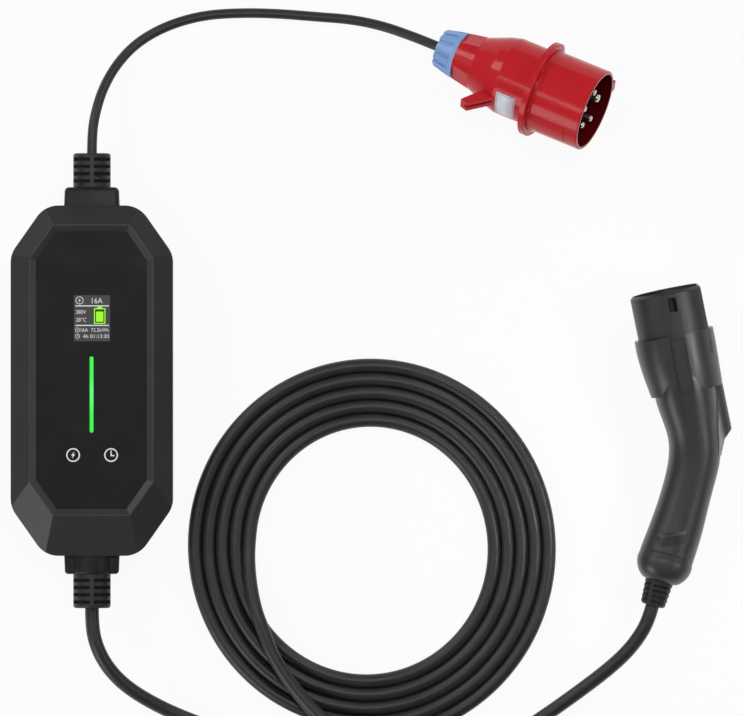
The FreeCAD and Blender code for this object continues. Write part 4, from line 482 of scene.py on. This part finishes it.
class Print:
    """Flat shapes of one colour that end as one thin piece on a level."""

    def __init__(self):
        self.bm = bmesh.new()

    def rectangle(self, x0, x1, y0, y1):
        made = bmesh.ops.create_grid(self.bm, x_segments=1, y_segments=1, size=0.5)
        self.fit(made["verts"], x0, x1, y0, y1)

    def frame(self, x0, x1, y0, y1, stroke):
        """A rectangle's outline."""
        for box in ((x0, x1, y0, y0 + stroke), (x0, x1, y1 - stroke, y1),
                    (x0, x0 + stroke, y0 + stroke, y1 - stroke),
                    (x1 - stroke, x1, y0 + stroke, y1 - stroke)):
            self.rectangle(*box)

    def ring(self, x, y, radius, stroke):
        made = bmesh.ops.create_circle(self.bm, cap_ends=True, segments=RING_SIDES, radius=radius)
        disc = made["verts"][0].link_faces[0]
        bmesh.ops.inset_individual(self.bm, faces=[disc], thickness=stroke, use_even_offset=True)
        verts = set(made["verts"]) | set(disc.verts)
        bmesh.ops.delete(self.bm, geom=[disc], context="FACES_ONLY")
        bmesh.ops.translate(self.bm, verts=list(verts), vec=(x, y, 0.0))

    def outline(self, x, y, size, points):
        """A filled outline, drawn round a centre with its points in shares of its size."""
        self.bm.faces.new([self.bm.verts.new((x + px * size, y + py * size, 0.0)) for px, py in points])

    def clock_hands(self, x, y, stroke, tall, wide, drop):
        """Two hands that meet at a centre; drop is how far the level hand's lower side lies below it."""
        self.rectangle(x - stroke / 2, x + stroke / 2, y, y + tall)
        self.rectangle(x - stroke / 2, x + wide, y - drop, y - drop + stroke)

    def words(self, text, x0, x1, y0, y1):
        """Words from a text curve, fitted to a box."""
        curve = bpy.data.curves.new("words", "FONT")
        curve.body = text
        holder = bpy.data.objects.new("words", curve)
        bpy.context.scene.collection.objects.link(holder)
        bpy.context.view_layer.update()
        mesh = bpy.data.meshes.new_from_object(holder.evaluated_get(bpy.context.evaluated_depsgraph_get()))
        known = set(self.bm.verts)
        self.bm.from_mesh(mesh)
        self.fit([v for v in self.bm.verts if v not in known], x0, x1, y0, y1)
        bpy.data.objects.remove(holder)
        bpy.data.curves.remove(curve)
        bpy.data.meshes.remove(mesh)

    def fit(self, verts, x0, x1, y0, y1):
        """Moves and stretches points so that they fill a box."""
        xs, ys = [v.co.x for v in verts], [v.co.y for v in verts]
        wide, tall = (x1 - x0) / (max(xs) - min(xs)), (y1 - y0) / (max(ys) - min(ys))
        for v in verts:
            v.co = (x0 + (v.co.x - min(xs)) * wide, y0 + (v.co.y - min(ys)) * tall, 0.0)

    def lay(self, name, finish, level, shift=0.0):
        """Ends the print as a thin piece with its back at a level in metres, moved sideways in mm."""
        for face in self.bm.faces:
            face.normal_update()
            if face.normal.z < 0:
                face.normal_flip()
        mesh = bpy.data.meshes.new(name)
        self.bm.to_mesh(mesh)
        self.bm.free()
        mesh.transform(Matrix.Translation((shift * MM, 0.0, level)) @ Matrix.Scale(MM, 4))
        mesh.materials.append(finish)
        piece = bpy.data.objects.new(name, mesh)
        bpy.context.scene.collection.objects.link(piece)
        thick = piece.modifiers.new("thickness", "SOLIDIFY")
        thick.thickness = PRINT_HEIGHT
        thick.offset = 1.0
        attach(piece, "root")
        print(name, len(mesh.polygons), "faces")


# %% Colours of the prints
def lit(name, colour, glow):
    """A colour that shows partly by its own light."""
    finish = Finish(name, base_color=shade(colour, 1 - glow), roughness=0.5, emission_strength=glow)
    finish.set("emission_color", shade(colour, 1.0))
    return finish.material


picture_white = lit("picture_white", (0.70, 0.70, 0.72), glow=0.6)
picture_grey = lit("picture_grey", (0.040, 0.040, 0.041), glow=0.6)
picture_dark = lit("picture_dark", (0.008, 0.030, 0.006), glow=0.3)
picture_green = lit("picture_green", (0.33, 1.0, 0.006), glow=0.9)
# Painted light: the key signs are prints, and a glow gives them part of their white.
key_white = lit("key_white", (0.80, 0.80, 0.80), glow=0.3)
print("materials with the prints' colours:", len(bpy.data.materials))

# %% Where the display's picture has its parts
SCREEN = (-13.3, 14.2, 29.9, 64.8)
PICTURE_SHIFT = 0.6
BOLT = ((0.25, 0.75), (-0.45, -0.12), (-0.05, -0.12), (-0.25, -0.75), (0.45, 0.12), (0.05, 0.12))
MODE_PLACE, MODE_RADIUS, MODE_STROKE, MODE_BOLT = (-9.6, 60.9), 3.0, 0.5, 2.4
ENERGY_PLACE, CLOCK_PLACE = (-11.2, 38.5), (-11.2, 33.7)
SMALL_RADIUS, SMALL_STROKE, SMALL_BOLT = 1.8, 0.35, 1.4
RULE_LEFT, RULE_RIGHT, RULE_STROKE = -12.8, 12.7, 0.85
RULE_LEVELS = (56.3, 41.5)
WORDS = (("16A", -0.3, 7.8, 58.6, 62.7), ("380V", -12.4, -4.7, 50.7, 53.6),
         ("28\u00b0C", -12.4, -4.5, 44.7, 47.8), ("16A", -8.7, -3.2, 37.1, 39.9),
         ("72.5kWh", -0.8, 12.4, 37.1, 39.9), ("4h 01:13:30", -7.1, 12.7, 32.3, 35.1))
BATTERY_WINDOW, BATTERY_FRAME, FRAME_STROKE = (2.1, 9.2, 43.9, 54.1), (1.3, 10.0, 43.1, 54.9), 0.75
BATTERY_CAP, BATTERY_CHARGE = (3.9, 7.4, 54.9, 56.1), (2.9, 8.4, 44.7, 52.4)
print("screen", round(SCREEN[1] - SCREEN[0], 1), "by", round(SCREEN[3] - SCREEN[2], 1), "mm")

# %% The display's picture
PANEL_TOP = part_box("front_panel")[1].z

back = Print()
back.rectangle(*SCREEN)
back.lay("display_background", picture_grey, PANEL_TOP)

signs = Print()
signs.ring(*MODE_PLACE, MODE_RADIUS, MODE_STROKE)
signs.outline(*MODE_PLACE, MODE_BOLT, BOLT)
signs.ring(*ENERGY_PLACE, SMALL_RADIUS, SMALL_STROKE)
signs.outline(*ENERGY_PLACE, SMALL_BOLT, BOLT)
signs.ring(*CLOCK_PLACE, SMALL_RADIUS, SMALL_STROKE)
signs.clock_hands(*CLOCK_PLACE, stroke=0.3, tall=1.2, wide=0.9, drop=0.2)
for level in RULE_LEVELS:
    signs.rectangle(RULE_LEFT, RULE_RIGHT, level, level + RULE_STROKE)
for text, *box in WORDS:
    signs.words(text, *box)
signs.lay("display_signs", picture_white, PANEL_TOP + PRINT_HEIGHT, PICTURE_SHIFT)

window = Print()
window.rectangle(*BATTERY_WINDOW)
window.lay("battery_window", picture_dark, PANEL_TOP + PRINT_HEIGHT, PICTURE_SHIFT)

battery = Print()
battery.frame(*BATTERY_FRAME, FRAME_STROKE)
battery.rectangle(*BATTERY_CAP)
battery.rectangle(*BATTERY_CHARGE)
battery.lay("battery_sign", picture_green, PANEL_TOP + 2 * PRINT_HEIGHT, PICTURE_SHIFT)

# %% [markdown]
# The keys under the light bar are only marked: a ring with a bolt on the left one and a ring with
# clock hands on the right one. Both signs lie in one print.

# %% Key signs
KEY_LEFT, KEY_RIGHT, KEY_LEVEL = -13.9, 14.9, -56.4
KEY_RADIUS, KEY_STROKE, KEY_BOLT = 5.25, 1.0, 3.6

keys = Print()
for x in (KEY_LEFT, KEY_RIGHT):
    keys.ring(x, KEY_LEVEL, KEY_RADIUS, KEY_STROKE)
keys.outline(KEY_LEFT, KEY_LEVEL, KEY_BOLT, BOLT)
keys.clock_hands(KEY_RIGHT, KEY_LEVEL, stroke=0.9, tall=3.4, wide=2.6, drop=0.9)
keys.lay("key_signs", key_white, PANEL_TOP)

# %% [markdown]
# ## The seats of both glands
# Above the box the sleeve sits in one block with rounded edges. Below it the photograph shows a round
# barrel with a lower lug on each side, all within the same width. Both seats start from the same
# block, which gets narrower outwards; the barrel is a cone with a rounded rim.

# %% Blocks and barrel
SEAT_FOOT, SEAT_LENGTH = 132.6, 14.3
BLOCK_HALF, BLOCK_TIP_HALF = 21.0, 20.4
UPPER_HEIGHT, UPPER_ROUNDING = 35.0, 3.2
LUG_HEIGHT, LUG_ROUNDING = 20.0, 2.4
BARREL_RADIUS, BARREL_RIM_RADIUS, BARREL_ROUNDING = 17.0, 16.4, 1.6
BARREL_SIDES, ROUNDING_STEPS = 96, 5
SHARP_FROM = 35.0


def block(bm, height, rounding):
    """A block that gets narrower towards its tip, with every edge but those of its foot rounded."""
    verts = bmesh.ops.create_cube(bm, size=1.0)["verts"]
    for v in verts:
        half = BLOCK_TIP_HALF if v.co.z > 0 else BLOCK_HALF
        v.co = (2 * half * v.co.x, height * v.co.y, SEAT_LENGTH * v.co.z)
    rounded = {e for v in verts for e in v.link_edges if any(w.co.z > 0 for w in e.verts)}
    bmesh.ops.bevel(bm, geom=list(rounded), offset=rounding, segments=ROUNDING_STEPS, profile=0.5,
                    affect="EDGES", material=-1)


def barrel(bm, rounding):
    """A round barrel with a rounded rim."""
    bmesh.ops.create_cone(bm, cap_ends=True, segments=BARREL_SIDES, radius1=BARREL_RADIUS,
                          radius2=BARREL_RIM_RADIUS, depth=SEAT_LENGTH)
    rim = [e for e in bm.edges if all(v.co.z > 0 for v in e.verts)]
    bmesh.ops.bevel(bm, geom=rim, offset=rounding, segments=ROUNDING_STEPS, profile=0.5,
                    affect="EDGES", material=-1)


def lay_seat(bm, name, side, replaced):
    """Turns a seat so that its tip points along y, up or down as side says, and puts it at the box."""
    mesh = bpy.data.meshes.new(name)
    bm.to_mesh(mesh)
    bm.free()
    place = Matrix.Translation((0.0, side * (SEAT_FOOT + SEAT_LENGTH / 2), GLAND_CENTRE[2]))
    mesh.transform(Matrix.Scale(MM, 4) @ place @ Matrix.Rotation(-side * math.pi / 2, 4, "X"))
    mesh.shade_smooth()
    mesh.set_sharp_from_angle(angle=math.radians(SHARP_FROM))
    mesh.materials.append(gland)
    seat = bpy.data.objects.new(name, mesh)
    bpy.context.scene.collection.objects.link(seat)
    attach(seat, "root")
    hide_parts(replaced)
    print(name, len(mesh.polygons), "faces")


upper = bmesh.new()
block(upper, UPPER_HEIGHT, UPPER_ROUNDING)
lay_seat(upper, "upper_seat", 1, "top_collar")

lower = bmesh.new()
barrel(lower, BARREL_ROUNDING)
block(lower, LUG_HEIGHT, LUG_ROUNDING)
lay_seat(lower, "lower_seat", -1, "bottom_collar")

# %% [markdown]
# ## The ridge above the parting line
# The grip's flat steps out in a short slanting ridge before the parting line. It follows a surface
# that curves both ways, so a flat grid is dropped onto the shell from above, point by point, and
# lifted by the ridge's profile: steep on the grip's side, long on the other, and fading towards
# both ends. Its rim ends a little below the shell's skin.

# %% A grid dropped onto the shell
RIDGE_CENTRE, RIDGE_SLANT = (440.6, -120.4), math.radians(9.0)
RIDGE_LENGTH, RIDGE_WIDTH, RIDGE_HEIGHT = 24.0, 11.0, 1.4
RIDGE_CREST = 0.5
RIDGE_SUNK, RIDGE_BODY = 0.12, 0.4
RIDGE_COLUMNS, RIDGE_ROWS = 48, 24
ABOVE_ALL, DOWN = 100.0, Vector((0.0, 0.0, -1.0))

surface = BVHTree.FromObject(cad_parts["connector_shell_upper"], bpy.context.evaluated_depsgraph_get())
bm = bmesh.new()
bmesh.ops.create_grid(bm, x_segments=RIDGE_COLUMNS, y_segments=RIDGE_ROWS, size=1.0)
turn = Matrix.Rotation(RIDGE_SLANT, 2)
for v in bm.verts:
    across, up = v.co.x, v.co.y
    spot = Vector(RIDGE_CENTRE) + turn @ Vector((across * RIDGE_LENGTH / 2, up * RIDGE_WIDTH / 2))
    skin = surface.ray_cast(Vector((*spot, ABOVE_ALL)) * MM, DOWN)[0]
    rise = (1 - up) / (1 - RIDGE_CREST) if up > RIDGE_CREST else (1 + up) / (1 + RIDGE_CREST)
    v.co = skin + Vector((0.0, 0.0, (RIDGE_HEIGHT * rise * (1 - across ** 4) - RIDGE_SUNK) * MM))
ridge_mesh = bpy.data.meshes.new("handle_ridge")
bm.to_mesh(ridge_mesh)
bm.free()
ridge_mesh.shade_smooth()
ridge_mesh.materials.append(handle)
ridge = bpy.data.objects.new("handle_ridge", ridge_mesh)
bpy.context.scene.collection.objects.link(ridge)
body = ridge.modifiers.new("thickness", "SOLIDIFY")
body.thickness = RIDGE_BODY * MM
body.offset = -1.0
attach(ridge, "root")
print("ridge:", len(ridge_mesh.polygons), "faces")

# %% [markdown]
# ## The plug's label
# A pale, bare label goes round part of the plug's barrel, between the lug and the flange. It is made
# in the plug's own frame, where z is the axis from the nut to the mouth and an angle of 0 is upwards:
# a short line is spun about the axis and laid where the plug lies, and a modifier thickens it.

# %% Sheets bent round the plug
SHEET_STEPS = 24


def plug_sheet(name, radius, z0, z1, start, end, finish, thickness):
    """A sheet round the plug's axis, between two heights in millimetres and two angles in degrees."""
    bm = bmesh.new()
    turn = Matrix.Rotation(math.radians(start), 4, "Z")
    low, high = (bm.verts.new(turn @ Vector((radius, 0.0, z))) for z in (z0, z1))
    line = bm.edges.new((low, high))
    bmesh.ops.spin(bm, geom=[low, high, line], cent=(0, 0, 0), axis=(0, 0, 1), dvec=(0, 0, 0),
                   angle=math.radians(end - start), steps=SHEET_STEPS, use_merge=False)
    for face in bm.faces:
        face.normal_update()
        middle = face.calc_center_median()
        if face.normal.dot(Vector((middle.x, middle.y, 0.0))) < 0:
            face.normal_flip()
    mesh = bpy.data.meshes.new(name)
    bm.to_mesh(mesh)
    bm.free()
    mesh.transform(Matrix.Scale(MM, 4) @ plug_frame)
    mesh.materials.append(finish)
    mesh.shade_smooth()
    piece = bpy.data.objects.new(name, mesh)
    bpy.context.scene.collection.objects.link(piece)
    thick = piece.modifiers.new("thickness", "SOLIDIFY")
    thick.thickness = thickness * MM
    thick.offset = 1.0
    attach(piece, "root")
    print(name, len(mesh.polygons), "faces")


# %% The label and its plain frame line
LABEL_RADIUS, LABEL_THICKNESS = 30.22, 0.10
LABEL_LOW, LABEL_HIGH = 61.0, 77.0
LABEL_START, LABEL_END = 30.0, 78.0
MARGIN, LINE = 0.8, 0.4
MARGIN_ANGLE, LINE_ANGLE = 1.6, 0.8

paper = Finish("label_paper", roughness=0.45)
fibres = paper.noise(300.0)
paper.set("base_color", paper.blend(fibres, (0.80, 0.82, 0.93, 1.0), (0.86, 0.88, 0.98, 1.0)))
ink = Finish("label_ink", base_color=(0.20, 0.22, 0.34, 1.0), roughness=0.5)
plug_sheet("plug_label", LABEL_RADIUS, LABEL_LOW, LABEL_HIGH, LABEL_START, LABEL_END, paper.material,
           LABEL_THICKNESS)

low, high = LABEL_LOW + MARGIN, LABEL_HIGH - MARGIN
start, end = LABEL_START + MARGIN_ANGLE, LABEL_END - MARGIN_ANGLE
FRAME_LINES = ((low, low + LINE, start, end), (high - LINE, high, start, end),
               (low, high, start, start + LINE_ANGLE), (low, high, end - LINE_ANGLE, end))
for i, spans in enumerate(FRAME_LINES):
    plug_sheet(f"label_line_{i + 1}", LABEL_RADIUS + LABEL_THICKNESS, *spans, ink.material,
               PRINT_HEIGHT / MM)

# %% [markdown]
# ## The cords
# Each cord is one NURBS curve with a round bevel. Its control points are the points that the CAD
# tube bends at, in millimetres, so the curve lies where the tube lies but without its straight
# runs. The order and the end points are set after the points are added.

# %% A cord from its control points
STEPS_ROUND, STEPS_ALONG = 7, 8


def cord_curve(name, points, radius, finish):
    """One smooth NURBS curve with a round section."""
    curve = bpy.data.curves.new(name, "CURVE")
    curve.dimensions = "3D"
    curve.bevel_depth = radius
    curve.bevel_resolution = STEPS_ROUND
    curve.use_fill_caps = True
    spline = curve.splines.new("NURBS")
    spline.points.add(len(points) - 1)
    for target, (x, y, z) in zip(spline.points, points):
        target.co = (x * MM, y * MM, z * MM, 1.0)
    spline.order_u = 3
    spline.use_endpoint_u = True
    spline.resolution_u = STEPS_ALONG
    curve.materials.append(finish)
    piece = bpy.data.objects.new(name, curve)
    bpy.context.scene.collection.objects.link(piece)
    print(name, len(points), "points")
    return piece


# %% Supply cord
SUPPLY_RADIUS = 3.75
SUPPLY_EXIT = (0.0, 172.8, 30.0)
SUPPLY_POINTS = [
    SUPPLY_EXIT, (0.0, 187.8, 30.0), (2.6, 204.0, 26.5), (8.2, 222.5, 17.5), (18.5, 241.0, 8.5),
    (34.0, 257.5, 4.0), (56.0, 270.0, 3.8), (83.0, 278.0, 3.8), (112.0, 280.0, 3.8), (141.0, 279.4, 3.8),
    (170.0, 277.0, 3.8), (197.0, 275.0, 4.2), (221.0, 270.0, 6.8), (244.0, 261.8, 11.2),
    (257.2, 256.5, 11.7), (265.2, 253.2, 14.1)]
supply = cord_curve("supply_cord_curve", SUPPLY_POINTS, SUPPLY_RADIUS * MM, cord_rubber)
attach(supply, "root")
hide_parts("supply_cord")

# %% [markdown]
# The charging cord is one piece from the box to the connector. Its coil is a flat spiral: it joins
# the outermost strand at the bottom, winds inwards, and leaves the innermost strand at the left,
# climbs on the strands and crosses over them to the right. A NURBS curve cuts inside its control
# points, so the spiral's points lie a little further out than the cord.

# %% Charging cord
CHARGE_RADIUS = 5.3
COIL_CENTRE = (210.1, -126.8)
COIL_HALF = (140.6, 144.1)
COIL_PITCH, COIL_TURNS = 10.42, 4.75
POINTS_A_TURN = 24
COIL_BOTTOM, JOINS_AT = 270.0, 282.0
CURVE_REACH = 0.9957

LEAD_POINTS = [
    (0.0, -172.8, 30.0), (0.0, -187.8, 30.0), (4.0, -203.8, 29.2), (12.2, -218.6, 26.0),
    (25.0, -232.0, 20.2), (42.5, -243.5, 13.4), (63.5, -254.0, 8.0), (91.0, -264.5, 5.6),
    (123.0, -272.1, 5.3), (150.0, -272.1, 5.3), (181.0, -272.3, 5.3), (212.0, -272.0, 5.3)]
TAIL_POINTS = [
    (118.9, -143.0, 7.4), (120.8, -159.0, 12.6), (124.4, -175.5, 16.8), (130.0, -190.0, 17.2),
    (136.0, -207.0, 17.2), (149.5, -229.0, 17.3), (167.0, -250.0, 17.2), (188.0, -268.0, 17.3),
    (212.0, -281.0, 16.0), (238.5, -288.0, 9.8), (266.0, -289.5, 6.0), (295.0, -283.0, 5.4),
    (322.0, -270.0, 5.4), (347.8, -252.8, 5.4), (370.8, -236.3, 6.8), (390.7, -221.2, 10.8),
    (405.6, -207.8, 15.2), (415.6, -195.4, 18.6), (422.9, -182.4, 20.4), (426.1, -170.8, 21.0)]


def coil_points():
    """The turns of the coil, from its outermost strand to its innermost."""
    swept = COIL_BOTTOM + 360 * COIL_TURNS - JOINS_AT
    count = round(swept / 360 * POINTS_A_TURN)
    points = []
    for i in range(count + 1):
        degrees = JOINS_AT + swept * i / count
        inwards = COIL_PITCH * (degrees - COIL_BOTTOM) / 360
        turn = math.radians(degrees)
        half_x, half_y = ((half - inwards) / CURVE_REACH for half in COIL_HALF)
        x, y = COIL_CENTRE[0] + half_x * math.cos(turn), COIL_CENTRE[1] + half_y * math.sin(turn)
        points.append((x, y, CHARGE_RADIUS))
    return points


charge_points = LEAD_POINTS + coil_points() + TAIL_POINTS
charge = cord_curve("charge_cord_curve", charge_points, CHARGE_RADIUS * MM, cord_rubber)
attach(charge, "root")
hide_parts("charge_cord_lead", "charge_cord_coil", "charge_cord_tail")


# %% Measure both cords
def drawn_length(piece):
    """The length of a curve's own line, without its bevel."""
    plain = piece.data.copy()
    plain.bevel_depth = 0.0
    probe = bpy.data.objects.new("probe", plain)
    bpy.context.scene.collection.objects.link(probe)
    bpy.context.view_layer.update()
    evaluated = probe.evaluated_get(bpy.context.evaluated_depsgraph_get())
    mesh = bpy.data.meshes.new_from_object(evaluated)
    line = [v.co.copy() for v in mesh.vertices]
    total = sum((b - a).length for a, b in zip(line, line[1:]))
    bpy.data.meshes.remove(mesh)
    bpy.data.objects.remove(probe)
    bpy.data.curves.remove(plain)
    return total


print("supply cord", round(drawn_length(supply), 3), "m, charging cord", round(drawn_length(charge), 3), "m")

# %% List the connector's nodes
CONNECTOR_NODES = [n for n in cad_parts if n.startswith("connector_")]
CONNECTOR_NODES += ["contact_carrier", "power_sockets", "signal_sockets"]

# %% [markdown]
# ## Floor and light
# The photograph's background is pure white. The floor is therefore a pale matte plane that glows,
# but only for rays from the camera and in reflections, so the shadow stays but is faint. Eight soft
# boxes light the set. The one that gives most, key, is low at the lower left and makes the box's
# lower left slope the lightest one. Two beyond the upper corners brighten the upper slopes, two on
# the left and one on the right fill the flats, a narrow one draws the stripe on the handle, and one
# high above lights everything evenly. No lamp stands where the flat panel would mirror it.

# %% Floor
FLOOR_HALF = 6.0
FLOOR_GLOW = 0.925
floor_mesh = bmesh.new()
bmesh.ops.create_grid(floor_mesh, x_segments=1, y_segments=1, size=FLOOR_HALF)
floor_data = bpy.data.meshes.new("floor")
floor_mesh.to_mesh(floor_data)
floor_mesh.free()
floor = bpy.data.objects.new("floor", floor_data)
bpy.context.scene.collection.objects.link(floor)

floor_finish = Finish("floor_white", base_color=(0.9, 0.9, 0.9, 1.0), roughness=0.9)
from_camera, reflected, through = (floor_finish.node("LightPath", output=f"Is {kind} Ray")
                                   for kind in ("Camera", "Glossy", "Transmission"))
seen = from_camera.math("MAXIMUM", reflected).math("MAXIMUM", through)
glow = floor_finish.node("Emission", Color=(1.0, 1.0, 1.0, 1.0), Strength=1.0)
floor_finish.surface(floor_finish.node("MixShader", i0=seen * FLOOR_GLOW, i1=floor_finish.own(), i2=glow))
floor_data.materials.append(floor_finish.material)
print("floor", 2 * FLOOR_HALF, "m wide")


# %% Lamps and sky
def softbox(name, place, target, size, power, spread=180.0):
    """A square lamp in metres that faces a point; a small spread in degrees keeps its light together."""
    lamp = bpy.data.lights.new(name, "AREA")
    lamp.size = size
    lamp.energy = power
    lamp.spread = math.radians(spread)
    piece = bpy.data.objects.new(name, lamp)
    piece.location = place
    piece.rotation_euler = (Vector(target) - Vector(place)).to_track_quat("-Z", "Y").to_euler()
    bpy.context.scene.collection.objects.link(piece)
    print(name, round((Vector(target) - Vector(place)).length, 2), "m away,", power, "W")


softbox("key", place=(-0.97, -1.18, 0.76), target=(0.15, 0.0, 0.0), size=0.9, power=10.2)
softbox("left_high", place=(-1.1, 0.25, 1.35), target=(0.15, 0.0, 0.0), size=0.7, power=1.6)
softbox("middle", place=(-0.62, 0.05, 1.75), target=(0.2, 0.0, 0.0), size=0.35, power=2.2)
softbox("handle_light", place=(1.60, 0.10, 1.25), target=(0.55, -0.06, 0.03), size=0.3, power=0.13,
        spread=14.0)
softbox("right", place=(1.45, -0.10, 1.1), target=(0.1, 0.0, 0.0), size=0.6, power=3.0)
softbox("upper_left", place=(-1.0, 1.15, 1.1), target=(0.1, 0.0, 0.0), size=0.7, power=8.5)
softbox("upper_right", place=(1.0, 1.35, 1.1), target=(0.2, 0.0, 0.0), size=0.7, power=6.5)
softbox("overhead", place=(0.42, 0.50, 2.8), target=(0.21, 0.0, 0.0), size=0.35, power=12.0)

SKY_STRENGTH = 0.13
world = bpy.data.worlds.new("studio")
bpy.context.scene.world = world
world.use_nodes = True
sky = world.node_tree.nodes["Background"].inputs
sky["Color"].default_value = (1.0, 1.0, 1.0, 1.0)
sky["Strength"].default_value = SKY_STRENGTH
